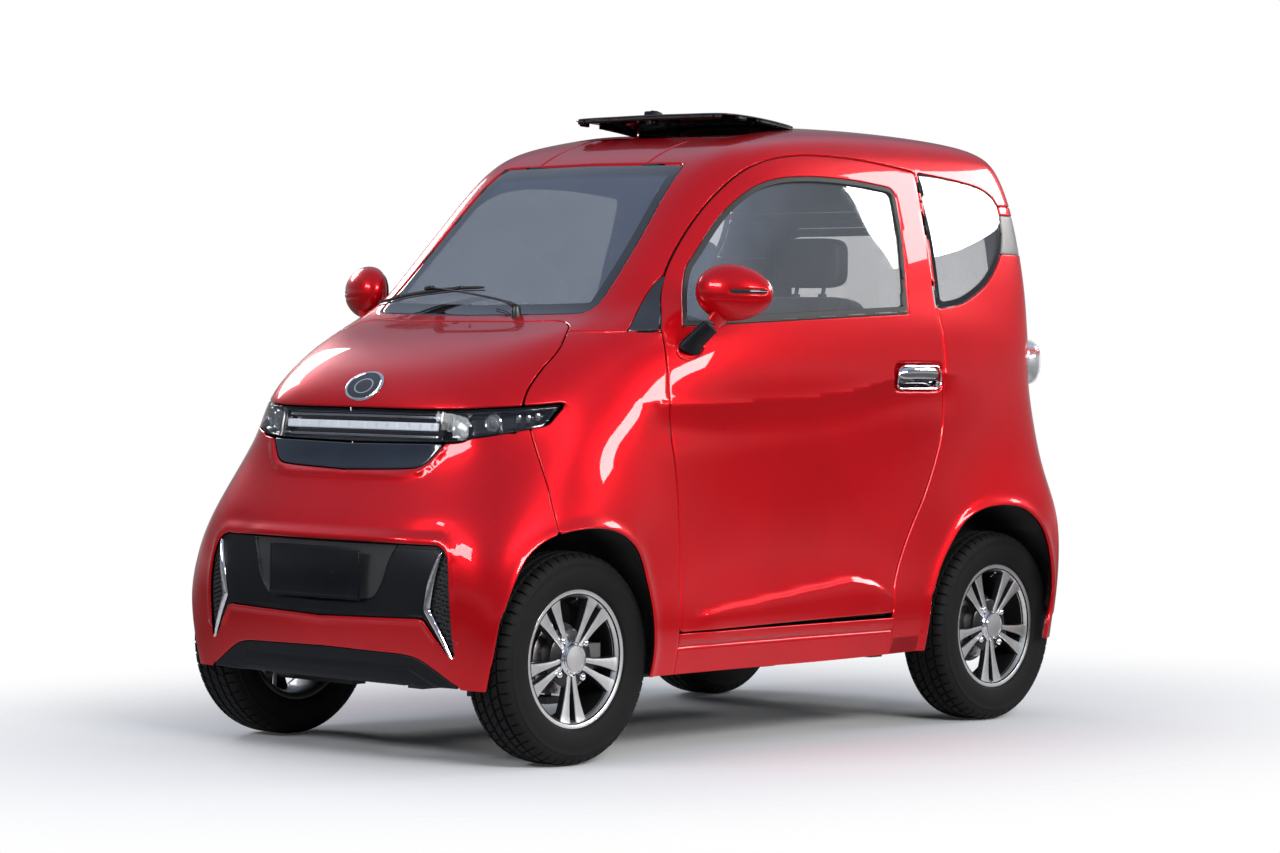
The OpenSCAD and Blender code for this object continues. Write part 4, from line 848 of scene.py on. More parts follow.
# ------------------------------------------------------------------ small builders
class Build:
    def __init__(self):
        self.V, self.F, self.M = [], [], []

    def add(self, V, F, mi=0, T=None):
        n = sum(len(v) for v in self.V)
        V = np.asarray(V, float).reshape(-1, 3)
        if T is not None:
            T = np.asarray(T, float)
            V = V @ T[:3, :3].T + T[:3, 3]
            if np.linalg.det(T[:3, :3]) < 0:
                F = [tuple(reversed(f)) for f in F]
        self.V.append(V)
        self.F += [tuple(int(i) + n for i in f) for f in F]
        self.M += list(mi) if hasattr(mi, "__len__") else [mi] * len(F)
        return self

    def lathe(self, prof, segs=64, mi=0, T=None, closed=True, a0=0.0, a1=2 * math.pi):
        """prof: (radius, along) round the local X axis; closed rings or an open profile that starts and ends on the axis"""
        prof = np.array(prof, float); n = len(prof)
        full = abs(a1 - a0 - 2 * math.pi) < 1e-6
        k = segs if full else segs + 1
        a = a0 + (a1 - a0) * np.arange(k) / segs
        V = np.stack([np.broadcast_to(prof[:, 1], (k, n)), np.cos(a)[:, None] * prof[:, 0], np.sin(a)[:, None] * prof[:, 0]], -1)
        F = []; m = []
        for i in range(segs):
            j = (i + 1) % k
            for q in range(n if closed else n - 1):
                w = (q + 1) % n
                F.append((i * n + q, j * n + q, j * n + w, i * n + w))
                m.append(mi[q] if hasattr(mi, "__len__") else mi)
        return self.add(V.reshape(-1, 3), F, m, T)

    def box(self, lo, hi, bev=2.0, mi=0, T=None, seg=2):
        bm = bmesh.new(); bmesh.ops.create_cube(bm, size=1.0)
        lo, hi = np.array(lo, float), np.array(hi, float)
        for v in bm.verts:
            v.co = Vector((lo + hi) / 2 + np.array(v.co) * (hi - lo))
        if bev > 0:
            bev = min(bev, 0.45 * float((hi - lo).min()))
            bmesh.ops.bevel(bm, geom=bm.edges[:] + bm.verts[:], offset=bev, segments=seg, profile=0.5, affect="EDGES")
        V = [v.co[:] for v in bm.verts]; bm.verts.index_update()
        F = [tuple(v.index for v in f.verts) for f in bm.faces]
        bm.free()
        return self.add(V, F, mi, T)

    def prism(self, poly, lo, hi, bev=1.5, mi=0, T=None, axis=1, seg=2):
        """polygon in the two other axes, between lo and hi along axis"""
        bm = bmesh.new()
        vs = []
        for a, b in poly:
            c = [a, b]; c.insert(axis, lo); vs.append(bm.verts.new(c))
        f = bm.faces.new(vs)
        r = bmesh.ops.extrude_face_region(bm, geom=[f])
        ev = [g for g in r["geom"] if isinstance(g, bmesh.types.BMVert)]
        for v in ev:
            v.co[axis] = hi
        bmesh.ops.recalc_face_normals(bm, faces=bm.faces)
        if bev > 0:
            bmesh.ops.bevel(bm, geom=bm.edges[:] + bm.verts[:], offset=bev, segments=seg, profile=0.5, affect="EDGES")
        bm.verts.index_update()
        V = [v.co[:] for v in bm.verts]; F = [tuple(v.index for v in q.verts) for q in bm.faces]
        bm.free()
        return self.add(V, F, mi, T)

    def tube(self, pts, rad, n=14, mi=0, T=None, flat=1.0, up=(0, 0, 1)):
        P_ = np.array(pts, float); m = len(P_)
        rad = np.broadcast_to(np.asarray(rad, float), (m,)) if np.ndim(rad) < 2 else rad
        t = np.gradient(P_, axis=0); t /= np.linalg.norm(t, axis=1)[:, None]
        upv = np.array(up, float)
        V = []
        for i in range(m):
            a = np.cross(upv, t[i]); a /= max(np.linalg.norm(a), 1e-9); b = np.cross(t[i], a)
            for k in range(n):
                th = 2 * math.pi * k / n
                V.append(P_[i] + rad[i] * (math.cos(th) * a + flat * math.sin(th) * b))
        F = []
        for i in range(m - 1):
            for k in range(n):
                F.append((i * n + k, i * n + (k + 1) % n, (i + 1) * n + (k + 1) % n, (i + 1) * n + k))
        F.append(tuple(reversed(range(n)))); F.append(tuple((m - 1) * n + k for k in range(n)))
        return self.add(V, F, mi, T)

    def ball(self, c, r, nu_=32, nv_=20, mi=0, T=None, e1=1.0, e2=1.0, fun=None):
        """super-ellipsoid, poles on Z"""
        c, r = np.array(c, float), np.array(r, float)
        sp = lambda x, e: np.sign(x) * np.abs(x) ** e
        V = [[0, 0, -1]]
        for i in range(1, nv_):
            ph = -math.pi / 2 + math.pi * i / nv_
            for k in range(nu_):
                th = 2 * math.pi * k / nu_
                V.append([float(sp(math.cos(ph), e1) * sp(math.cos(th), e2)), float(sp(math.cos(ph), e1) * sp(math.sin(th), e2)), float(sp(math.sin(ph), e1))])
        V.append([0, 0, 1])
        V = np.array(V)
        V = fun(V) if fun is not None else V
        V = V * r + c
        F = [(0, 1 + (k + 1) % nu_, 1 + k) for k in range(nu_)]
        for i in range(nv_ - 2):
            for k in range(nu_):
                a = 1 + i * nu_
                F.append((a + k, a + (k + 1) % nu_, a + nu_ + (k + 1) % nu_, a + nu_ + k))
        a = 1 + (nv_ - 2) * nu_
        F += [(a + k, a + (k + 1) % nu_, a + nu_) for k in range(nu_)]
        return self.add(V, F, mi, T)

    def make(self, name, mats, ang=35.0, scale=0.001):
        V = np.concatenate(self.V) * scale
        me = bpy.data.meshes.new(name)
        me.from_pydata([tuple(v) for v in V], [], self.F)
        for m in mats:
            me.materials.append(m)
        me.polygons.foreach_set("material_index", np.asarray(self.M, np.int32))
        me.polygons.foreach_set("use_smooth", np.ones(len(me.polygons), bool))
        me.validate(); me.update()
        me.set_sharp_from_angle(angle=math.radians(ang))
        ob = bpy.data.objects.new(name, me); bpy.context.scene.collection.objects.link(ob)
        return ob


def TM(loc=(0, 0, 0), rot=(0, 0, 0), sc=(1, 1, 1)):
    from mathutils import Euler
    m = Matrix.Translation(loc) @ Euler([math.radians(a) for a in rot], "XYZ").to_matrix().to_4x4() @ Matrix.Diagonal((*sc, 1))
    return np.array(m)


def cr(pts, n=8):
    """smooth open curve through the points"""
    P_ = [np.array(p, float) for p in pts]
    q = [2 * P_[0] - P_[1]] + P_ + [2 * P_[-1] - P_[-2]]
    out = []
    for i in range(1, len(q) - 2):
        p0, p1, p2, p3 = q[i - 1:i + 3]
        for t in np.arange(n) / n:
            out.append(0.5 * ((2 * p1) + (-p0 + p2) * t + (2 * p0 - 5 * p1 + 4 * p2 - p3) * t * t + (-p0 + 3 * p1 - 3 * p2 + p3) * t ** 3))
    out.append(P_[-1])
    return np.array(out)


# ------------------------------------------------------------------ wheels
R0, HW = 254.0, 72.5


def mat_tyre():
    m, nt, bs = nodes("tyre_rubber")
    g = noise(nt, 260.0, 4.0); big = noise(nt, 11.0, 4.0)
    nt.links.new(ramp(nt, big, [(0.25, (0.0030, 0.0030, 0.0034)), (0.8, (0.0068, 0.0065, 0.0065))]), bs.inputs["Base Color"])
    nt.links.new(remap(nt, big, 0.58, 0.80), bs.inputs["Roughness"])
    bump(nt, bs, g, 0.00015, 0.5)
    bs.inputs["Specular IOR Level"].default_value = 0.16
    return m


def mat_alloy():
    m, nt, bs = nodes("machined_alloy")
    tc = N(nt, "ShaderNodeTexCoord")
    mp = N(nt, "ShaderNodeMapping"); mp.inputs["Scale"].default_value = (900.0, 6.0, 6.0)
    nt.links.new(tc.outputs["Object"], mp.inputs["Vector"])
    st = noise(nt, 1.0, 3.0, vec=mp.outputs["Vector"])
    big = noise(nt, 14.0, 3.0)
    nt.links.new(ramp(nt, big, [(0.3, (0.74, 0.74, 0.735)), (0.7, (0.90, 0.895, 0.885))]), bs.inputs["Base Color"])
    nt.links.new(remap(nt, st, 0.26, 0.40), bs.inputs["Roughness"])
    bump(nt, bs, st, 0.00002, 0.3)
    setp(bs, Metallic=1.0)
    return m


RUBBER, ALLOY = mat_tyre(), mat_alloy()
POCKET = mat_plastic("wheel_pocket_black", (0.007, 0.007, 0.008), 0.30, 500.0, 0.00003, spec=0.35, coat=0.25)


def tyre_mesh(name, s):
    PI = 56
    # (w, r, block row or None): outer bead to inner bead, tread between
    half = [(58.8, 153.0, 0), (58.8, 160.0, 0), (60.5, 166.2, 0), (65.5, 169.5, 0), (67.5, 172.5, 0), (68.2, 176, 0), (70.2, 181, 0), (71.4, 190, 0), (72.3, 197, 0), (72.5, 205, 0), (72.0, 213, 0),
            (70.6, 222, 0), (70.9, 223.2, 0), (70.9, 226.0, 0), (69.4, 227.4, 0), (67.8, 232, 0), (67.6, 233.5, 3), (66.0, 238, 3), (63.2, 242.5, 3), (59.0, 247, 3), (54.5, 249.8, 3), (49.0, 251.4, 3), (44.5, 252.3, 3),
            (42.5, 246.0, 0), (38.5, 246.0, 0), (36.5, 253.2, 2), (27.0, 253.7, 2), (18.0, 253.9, 2), (16.0, 246.6, 0), (12.0, 246.6, 0), (10.0, 254.0, 1), (3.5, 254.0, 1)]
    prof = half + [(-w, r, k) for w, r, k in reversed(half)]
    cols = []
    for p in range(PI):
        for t, g in ((0.0, 0.0), (0.06, 1.0), (0.17, 1.0), (0.23, 0.0)):
            cols.append(((p + t) * 2 * math.pi / PI, g))
    V = []
    for a, g in cols:
        for w, r, k in prof:
            dep = (0, 2.6, 5.2, 5.6)[k] * g
            if k == 3 and abs(w) > 62:
                dep = 2.6 * g
            off = 0.0
            if k == 1 or (abs(w) <= 12.5):
                off = 0.5 + 0.030 * w
            elif abs(w) <= 40:
                off = 0.22 * np.sign(w) + 0.020 * (abs(w) - 27) * np.sign(w)
            else:
                off = 0.0 if w > 0 else 0.4
            aa = a + off * 2 * math.pi / PI * (1 if r > 228 else 0)
            rr = r - dep
            V.append([w, math.cos(aa) * rr, math.sin(aa) * rr])
    n = len(prof); F = []
    m = len(cols)
    for i in range(m):
        j = (i + 1) % m
        for q in range(n):
            w = (q + 1) % n
            F.append((i * n + q, j * n + q, j * n + w, i * n + w))
    b = Build(); b.add(V, F, 0, TM(sc=(-s, 1, 1)) if s > 0 else TM())
    return b


def wheel_build(s):
    """local frame: X outwards on the left side; s = -1 mirrors it"""
    M_ = TM(sc=(s, 1, 1))
    t = Build()
    # barrel: lip, outer flange, barrel wall, inner flange
    prof = [(150, 48), (152.5, 55.0), (155, 58.6), (160, 60.3), (164.5, 60.4), (166, 59.2), (165.2, 57.9), (162, 58.2), (157, 57.0), (152.6, 54), (151.8, 40), (151.5, -50),
            (154, -56), (160, -58.6), (165.4, -58.2), (166, -59.4), (164.5, -60.5), (159, -60.3), (150, -58), (146.5, -50), (145.5, 30), (146.5, 42)]
    mi = [0, 0, 0, 0, 0, 0, 0, 0, 0, 1, 1, 1, 1, 1, 1, 1, 1, 1, 1, 1, 1, 0]
    t.lathe(prof[::-1], 96, [mi[(len(prof) - 2 - q) % len(prof)] for q in range(len(prof))], M_)
    # a step ring in black inside the lip, then the centre
    t.lathe([(0.01, 30), (30, 30), (60, 31), (66, 33), (70, 36), (70.5, 40), (66, 42.5), (48, 44.0), (40, 46), (37.5, 50), (0.01, 50)][::-1], 80, [1] * 10, M_, closed=False)
    # spokes in five pairs, silver face with black sides
    for k in range(5):
        for q in (-1, 1):
            secs = []
            for u in np.linspace(0, 1, 13):
                rr = 34 + (151.5 - 34) * u
                cy = 8.0 + 20.5 * u ** 1.25
                hw = 6.0 + 3.8 * u + 9.0 * u ** 2.8
                wf = 46.5 + 6.5 * u ** 1.6 + (1.5 * max(0, u - 0.9) * 10)
                dep = 15 + 5 * u
                lean = 1.5 * u
                secs.append([(rr, cy - hw - 1.5 - lean, wf - dep), (rr, cy - hw, wf - 2.4), (rr, cy - hw + 1.4, wf - 0.4), (rr, cy - hw * 0.4, wf + 0.1), (rr, cy + hw * 0.4, wf + 0.1), (rr, cy + hw - 1.4, wf - 0.4),
                             (rr, cy + hw, wf - 2.4), (rr, cy + hw + 1.5 + lean, wf - dep)])
            V = []; F = []; m = []
            ang = 72 * k
            ca, sa = math.cos(math.radians(ang)), math.sin(math.radians(ang))
            for sec in secs:
                for rr, y, w in sec:
                    y *= q
                    # local: radial along (-Z when k = 0), tangential along Y
                    ry, rz = ca * 0 - sa * rr + ca * y * 1.0, -(ca * rr + sa * y)
                    ry = -sa * rr + ca * y; rz = -(ca * rr + sa * y)
                    V.append([w, ry, rz])
            L = 8
            for i in range(12):
                for c in range(L):
                    c2 = (c + 1) % L
                    f = (i * L + c, i * L + c2, (i + 1) * L + c2, (i + 1) * L + c)
                    F.append(f if q > 0 else f[::-1]); m.append(0 if 1 <= c <= 5 else 1)
            e0 = tuple(range(L)); e1 = tuple(12 * L + c for c in range(L))
            F.append(e0[::-1] if q > 0 else e0); F.append(e1 if q > 0 else e1[::-1]); m += [1, 1]
            t.add(V, F, m, M_)
        # dark web between the two spokes of a pair, near the hub
        a = math.radians(72 * k)
        R_ = np.array([[1, 0, 0, 0], [0, math.cos(a), math.sin(a), 0], [0, -math.sin(a), math.cos(a), 0], [0, 0, 0, 1]], float)
        t.prism([(-7, -20), (7, -20), (12, -78), (6, -84), (-6, -84), (-12, -78)], 30, 41, 2.0, 1, M_ @ R_, axis=0)
        # pocket shoulders between pairs
        b = math.radians(72 * k + 36)
        R2 = np.array([[1, 0, 0, 0], [0, math.cos(b), math.sin(b), 0], [0, -math.sin(b), math.cos(b), 0], [0, 0, 0, 1]], float)
        t.lathe([(148.5, 33), (150.8, 33), (151.0, 47), (147.0, 46)], 20, 1, M_ @ R2, a0=math.radians(-90 - 20), a1=math.radians(-90 + 20))
    # nuts
    for k in range(4):
        a = math.radians(38 + 90 * k)
        c = TM((0, 57 * math.cos(a), 57 * math.sin(a)))
        t.lathe([(11.5, 40), (11.5, 43.5), (9.8, 44)], 24, 1, M_ @ c, closed=False)
        t.lathe([(9.0, 42), (9.2, 47), (8.8, 49.5), (7.6, 52), (5.2, 54), (2.6, 55), (0.01, 55.2)], 24, 2, M_ @ c, closed=False)
    # hub collar and cap
    t.lathe([(40, 44), (41.5, 47.5), (40.8, 50), (38, 52.5), (36.2, 55.5), (35.5, 58.5), (34, 60.0), (31.5, 60.2), (30.5, 58.8), (24, 59.4), (12, 60.1), (0.01, 60.4)], 72, [2, 2, 2, 2, 2, 2, 2, 2, 0, 0, 0], M_, closed=False)
    # valve
    va = math.radians(36 + 54)
    t.tube([[44, 133 * math.cos(va), 133 * math.sin(va)], [52, 139 * math.cos(va), 139 * math.sin(va)], [60, 143 * math.cos(va), 143 * math.sin(va)]], [3.2, 3.0, 2.6], 10, 1, M_)
    return t


def disc_build(s):
    M_ = TM(sc=(s, 1, 1))
    d = Build()
    d.lathe([(30, -5), (84, -5), (86, -4), (86, 1), (84, 2), (56, 2), (54, 6), (52, 20), (49, 24), (30, 24)], 72, [1, 0, 0, 0, 0, 1, 1, 1, 1, 1], M_)
    for k in range(12):
        a = math.radians(30 * k)
        for rr in (64, 76):
            d.lathe([(0.01, 2.3), (3.0, 2.3), (3.2, 1.6)], 10, 1, M_ @ TM((0, rr * math.cos(a + rr * .02), rr * math.sin(a + rr * .02))), closed=False)
    return d


for side_n, s in (("left", 1), ("right", -1)):
    for end, y in (("front", -824.0), ("rear", 824.0)):
        nm = f"{side_n}_{end}"
        T_ = Matrix.Translation((s * 0.4805, y / 1000, 0.254))
        for ob, slot, rep in ((tyre_mesh(nm, s).make(nm + "_tyre_tread", [RUBBER], 28), "tyre", nm + "_tyre"),
                              (wheel_build(s).make(nm + "_wheel_alloy", [ALLOY, POCKET, CHROME], 32), "alloy", nm + "_rim"),
                              (disc_build(s).make(nm + "_brake_disc", [DISC, IRON], 30), "axle_iron", None)):
            ob.data.transform(T_)
            done(ob, nm + "_wheel", slot, *([rep] if rep else []))

# ------------------------------------------------------------------ arch liners
def surf_x(y, z):
    """x of the body surface on the left side at (y, z)"""
    best = None
    uu, vv = np.meshgrid(np.linspace(3.0, 12.9, 60), np.linspace(0, 7, 45))
    P_ = S(uu, vv)
    y, z = np.asarray(y, float), np.asarray(z, float)
    out = np.zeros(y.shape)
    for i in range(len(y)):
        k = np.argmin((P_[..., 1] - y[i]) ** 2 + (P_[..., 2] - z[i]) ** 2)
        u_, v_ = uu.ravel()[k], vv.ravel()[k]
        for _ in range(12):
            p = S(np.array(u_), np.array(v_)); pu = S(np.array(u_), np.array(v_), "u"); pv = S(np.array(u_), np.array(v_), "v")
            J = np.array([[pu[1], pv[1]], [pu[2], pv[2]]]); e = np.array([y[i] - p[1], z[i] - p[2]])
            try:
                dlt = np.linalg.solve(J, e)
            except np.linalg.LinAlgError:
                break
            u_, v_ = float(np.clip(u_ + np.clip(dlt[0], -.5, .5), 0, NU)), float(np.clip(v_ + np.clip(dlt[1], -.5, .5), 0, NV))
        out[i] = S(np.array(u_), np.array(v_))[0]
    return out


for end, yc, R_, arch, x_in in (("front", -824.0, 291.0, FRONT_ARCH, 274.0), ("rear", 824.0, 287.0, REAR_ARCH, 383.0)):
    line = spline(arch, 10.0)
    line = line[(line[:, 1] > 196) & ((line[:, 0] < 900) | (line[:, 1] > 284))]
    th = np.arctan2(line[:, 1] - 254, line[:, 0] - yc)
    th = np.where(th < -math.pi / 2, th + 2 * math.pi, th)
    o = np.argsort(th); line, th = line[o], th[o]
    xs = surf_x(line[:, 0], line[:, 1])
    # arch edge on the skin -> just inside it -> out to the liner radius -> inwards to the inner wall
    rows = []
    Rn = np.maximum(R_, np.hypot(line[:, 0] - yc, line[:, 1] - 254) + 3)
    py, pz = yc + Rn * np.cos(th), 254 + Rn * np.sin(th)
    sy, sz = np.clip(py, -1080, 1066), np.clip(pz, 200 if end == "front" else 262, 900)
    xi = surf_x(sy, sz)
    rows.append(np.stack([xs - 7, line[:, 0] + 3 * np.cos(th), line[:, 1] + 3 * np.sin(th)], 1))
    rows.append(np.stack([np.minimum(xs, xi) - 12, line[:, 0] * .5 + sy * .5, line[:, 1] * .5 + sz * .5], 1))
    x1 = np.minimum(xs, xi) - 18
    rows.append(np.stack([x1, sy, sz], 1))
    for f in (0.12, 0.3, 0.5, 0.7, 0.88, 1.0):
        groove = 2.0 * ((np.arange(len(sy)) // 3) % 2)
        rows.append(np.stack([x1 + (x_in - x1) * f, sy - groove * np.cos(th) * 0, sz], 1))
    G = np.stack(rows)
    nr, nc = G.shape[:2]
    if end == "front":
        # stand clear of the tyre at full lock
        Vq = G.reshape(-1, 3).copy()
        for _ in range(12):
            d0 = fTF(Vq); m_ = d0 < 2.5
            if not m_.any():
                break
            g_ = np.stack([fTF(Vq + dq) - fTF(Vq - dq) for dq in np.eye(3)], 1); g_[:, 0] = 0
            g_ /= np.maximum(np.linalg.norm(g_, axis=1, keepdims=True), 1e-6)
            Vq = Vq + g_ * (np.clip(2.6 - d0, 0, 4.0) * m_)[:, None]
        G = Vq.reshape(G.shape)
    for side_n, s in (("left", 1), ("right", -1)):
        b = Build()
        Vn = G.reshape(-1, 3)
        # thickness 2 mm away from the wheel
        cen = np.array([0, yc, 254.0]); dv_ = Vn - cen; dv_[:, 0] = 0; dv_ /= np.maximum(np.linalg.norm(dv_, axis=1, keepdims=True), 1e-9)
        Vo = Vn + dv_ * 1.8
        F = []
        n_ = len(Vn)
        for i in range(nr - 1):
            for j in range(nc - 1):
                a, b_, c, d_ = i * nc + j, i * nc + j + 1, (i + 1) * nc + j + 1, (i + 1) * nc + j
                F.append((a, d_, c, b_)); F.append((a + n_, b_ + n_, c + n_, d_ + n_))
        ring = [j for j in range(nc)] + [i * nc + nc - 1 for i in range(1, nr)] + [(nr - 1) * nc + j for j in range(nc - 2, -1, -1)] + [i * nc for i in range(nr - 2, 0, -1)]
        for a, b_ in zip(ring, ring[1:] + ring[:1]):
            F.append((a, b_, b_ + n_, a + n_))
        b.add(np.concatenate([Vn, Vo]), F, 0, TM(sc=(s, 1, 1)))
        done(b.make(f"{side_n}_{end}_arch_liner", [LINER], 50), "car_body", "liner")

# ------------------------------------------------------------------ nose: lamps, black panel, chrome, vents, lip
UF = (0, 4.6)


def xz(pts, step=6.0, half=True):
    g = sdf(spline(pts, step)); return lambda P: g(np.abs(P[..., 0]), P[..., 2])


fyF = ymax(-600)
# black trapezoid with a moulded U step; its outboard ends are the ribbed vents
USTEP = [(0, 560), (236, 560), (226, 470), (206, 412, 26), (176, 384, 30), (0, 376)]
fU = front(USTEP)
VENT = [(381, 512, 4), (403, 490, 6), (418, 400), (423, 262, 3), (416, 264, 3), (352, 372, 6), (364, 440)]
fV = xz(VENT)


def grille_relief(P):
    z = P[..., 2]
    u_ = fU(P)
    step_ = -7.0 * smooth((2.0 - u_) / 12.0)
    v_ = fV(P)
    rib = np.abs(((z + 0.30 * (np.abs(P[..., 0]) - 380)) / 11.5) % 1.0 - 0.5) * 2
    inside = smooth((2.0 - v_) / 5.0)
    vent = inside * (-9.0 + 7.0 * smooth((rib - 0.25) / 0.5))
    edge = -1.5 * np.exp(-((fG(P) + 7.0) / 2.5) ** 2)
    return step_ + vent + edge


gp = panel("grille_skin", inter(fG, fyF), 5.0, [BLACK, LINER], sink=3.5, rnd=3.0, centre=True, ur=UF, vr=(0, 5.5), target=5.0, extra=grille_relief, use_relief=False)
done(gp, "car_body", "black_plastic", "grille_panel")

# chrome boomerang strips
CHR = [(386, 509, 1.5), (378, 506, 1.5), (356, 442), (343, 376, 3), (346, 366, 3), (372, 326), (411, 262, 1.5), (418, 259, 1.5), (392, 318), (361, 374, 4), (372, 432)]
fC = xz(CHR, 5.0)
cs = panel("chrome_strip", inter(fC, fyF), 6.0, [CHROME, CHROME], sink=-2.0, rnd=3.0, sides=(1, -1), ur=(0.5, 4.6), vr=(0, 5.5), target=4.2, use_relief=False,
           extra=lambda P: 3.0 * smooth((-fC(P)) / 7.0))
done(cs, "car_body", "chrome")

# lower lip: a stepped spoiler with a raised middle
def lip_relief(P):
    z = P[..., 2]; x = np.abs(P[..., 0])
    line = 236 - 0.45 * np.maximum(0, x - 285)
    return 4.0 * smooth((line - z) / 14.0) - 3.0 * smooth((line - 34 - z) / 10.0)


lp = panel("lower_lip_skin", inter(lambda P: fLip(P) + 0.5, zmin(191.0), ymax(-700)), 8.0, [BLACK, LINER], sink=-0.5, rnd=3.0, centre=True, ur=UF, vr=(0, 3), target=6.0, extra=lip_relief, use_relief=False)
done(lp, "car_body", "black_plastic", "lower_lip")

# dark glass under the lamps
ng = panel("nose_dark_glass", inter(lambda P: fN(P) + 1.5, fyF), 6.0, [NAVY, LINER], sink=1.0, rnd=3.0, centre=True, ur=UF, vr=(4, 8), target=8.0, use_relief=False)
done(ng, "car_body", "gloss_black", "nose_glass")

# lamp bar: a clear cover, bezels, a housing behind, LED strip and projectors
ONEPLUS = lambda P: fL(P) + 1.5
cov = panel("lamp_cover", inter(ONEPLUS, fyF), 2.6, [LENS], sink=0.0, rnd=2.2, centre=True, inner_mat=0, ur=(0, 5.6), vr=(4.5, 8.5), target=10.0, use_relief=False)
done(cov, "car_body", "lamp_glass", "light_bar")


def bowl(P):
    return 0 * P[..., 0]


hou = panel("lamp_housing", inter(lambda P: fL(P) + 4.5, fyF), 3.0, [GLOSS, LINER], sink=30.0, rnd=0.0, centre=True, ur=(0, 5.6), vr=(4.5, 8.5), target=7.0, use_relief=False,
            extra=lambda P: 20.0 * np.exp(-(np.maximum(-(fL(P) + 4.5), 0) / 5.0) ** 2))
done(hou, "car_body", "black_plastic")
bez = lambda P: np.maximum(np.abs(np.abs(P[..., 0]) - 278.0) - 4.0, fL(P) + 3.0)
bz = panel("lamp_divider", inter(bez, fyF), 26.0, [GLOSS, LINER], sink=3.2, rnd=1.0, sides=(1, -1), ur=(0.5, 5.6), vr=(4.5, 8.5), target=5.0, use_relief=False)
done(bz, "car_body", "gloss_black")
# white light guides: one wide band in the middle with segments, a chrome line above and below
seg = lambda P: 1.6 * (np.abs(((np.abs(P[..., 0]) + 6) / 36.0) % 1.0 - 0.5) > 0.46)
ls = panel("led_strip", lambda P: np.maximum(np.maximum(np.abs(P[..., 2] - 800.0) - 9.5, np.abs(P[..., 0]) - 264.0), P[..., 1] + 600), 5.0, [LED, LED], sink=12.0, rnd=2.5, centre=True, ur=(0, 4), vr=(4.5, 8.5), target=5.0,
           use_relief=False, extra=lambda P: -seg(P))
done(ls, "car_body", "lamp_lens")
for k_, (z0, hh) in enumerate(((824.0, 4.0), (776.0, 3.5))):
    q_ = panel(f"lamp_rail_{k_}", lambda P: np.maximum(np.maximum(np.abs(P[..., 2] - z0) - hh, np.abs(P[..., 0]) - 266.0), P[..., 1] + 600), 5.0, [REFLECT, REFLECT], sink=17.0, rnd=2.0, centre=True, ur=(0, 4), vr=(4.5, 8.5), target=9.0, use_relief=False)
    done(q_, "car_body", "chrome")


def surf_point(px, pz):
    """front surface point and normal on the left half at (x, z)"""
    uu, vv = np.meshgrid(np.linspace(0, 5, 80), np.linspace(3, 9, 120))
    P_ = S(uu, vv); k = np.argmin((P_[..., 0] - px) ** 2 + (P_[..., 2] - pz) ** 2)
    u_, v_ = uu.ravel()[k], vv.ravel()[k]
    return S(np.array(u_), np.array(v_)), SN(np.array(u_), np.array(v_))


lamps = Build()
for s in (1, -1):
    for px, pz, rr in ((322, 806, 19), (398, 816, 16)):
        p, n = surf_point(px, pz)
        p = p - n * 26
        fx = Vector((n[0] * 0.4, n[1], 0)).normalized()
        q = fx.to_track_quat("X", "Z").to_matrix().to_4x4()
        T_ = np.array(Matrix.Diagonal((s, 1, 1, 1)) @ Matrix.Translation(p) @ q)
        lamps.lathe([(rr + 5, -6), (rr + 6, 6), (rr + 4, 8), (rr + 1, 5), (rr - 1, -4), (0.01, -6)][::-1], 32, 0, T_, closed=False)
        lamps.lathe([(rr - 1.5, 0), (rr - 2, 6), (rr - 5, 10), (rr - 9, 12.5), (0.01, 14)][::-1], 32, 1, T_, closed=False)
        lamps.lathe([(rr + 1, 2), (rr + 0.6, 4.4), (rr - 1.2, 4.4), (rr - 1.4, 2)], 32, 0, T_)
    # slim reflector wing towards the tip
    for px, pz in ((440, 824), (455, 828), (470, 833)):
        p, n = surf_point(px, pz); p = p - n * 20
        T_ = np.array(Matrix.Diagonal((s, 1, 1, 1)) @ Matrix.Translation(p) @ Vector((n[0], n[1], 0)).normalized().to_track_quat("X", "Z").to_matrix().to_4x4())
        lamps.box((-6, -5.5, -9), (2, 5.5, 9), 2.0, 0, T_)
done(lamps.make("lamp_projectors", [REFLECT, CLEAR], 40), "car_body", "lamp_lens")

# oval badge, blank, on the bonnet: chrome rim, dark field, a thin raised inner oval
fBd = lambda P: np.maximum((np.sqrt((P[..., 0] / 62.0) ** 2 + ((P[..., 2] - 890.0) / 35.0) ** 2) - 1.0) * 40.0, P[..., 1] + 600.0)
bdg = panel("bonnet_badge_blank", fBd, 3.0, [CHROME, CHROME], sink=-3.6, rnd=2.4, bands=[-5.6, -20.0, -22.6], band_mats=[GLOSS, CHROME, GLOSS], centre=True, ur=(0, 3), vr=(6, 11), target=5.0, use_relief=False,
            extra=lambda P: -1.3 * smooth((-5.0 - fBd(P)) / 1.2))
done(bdg, "hood_body", "chrome")

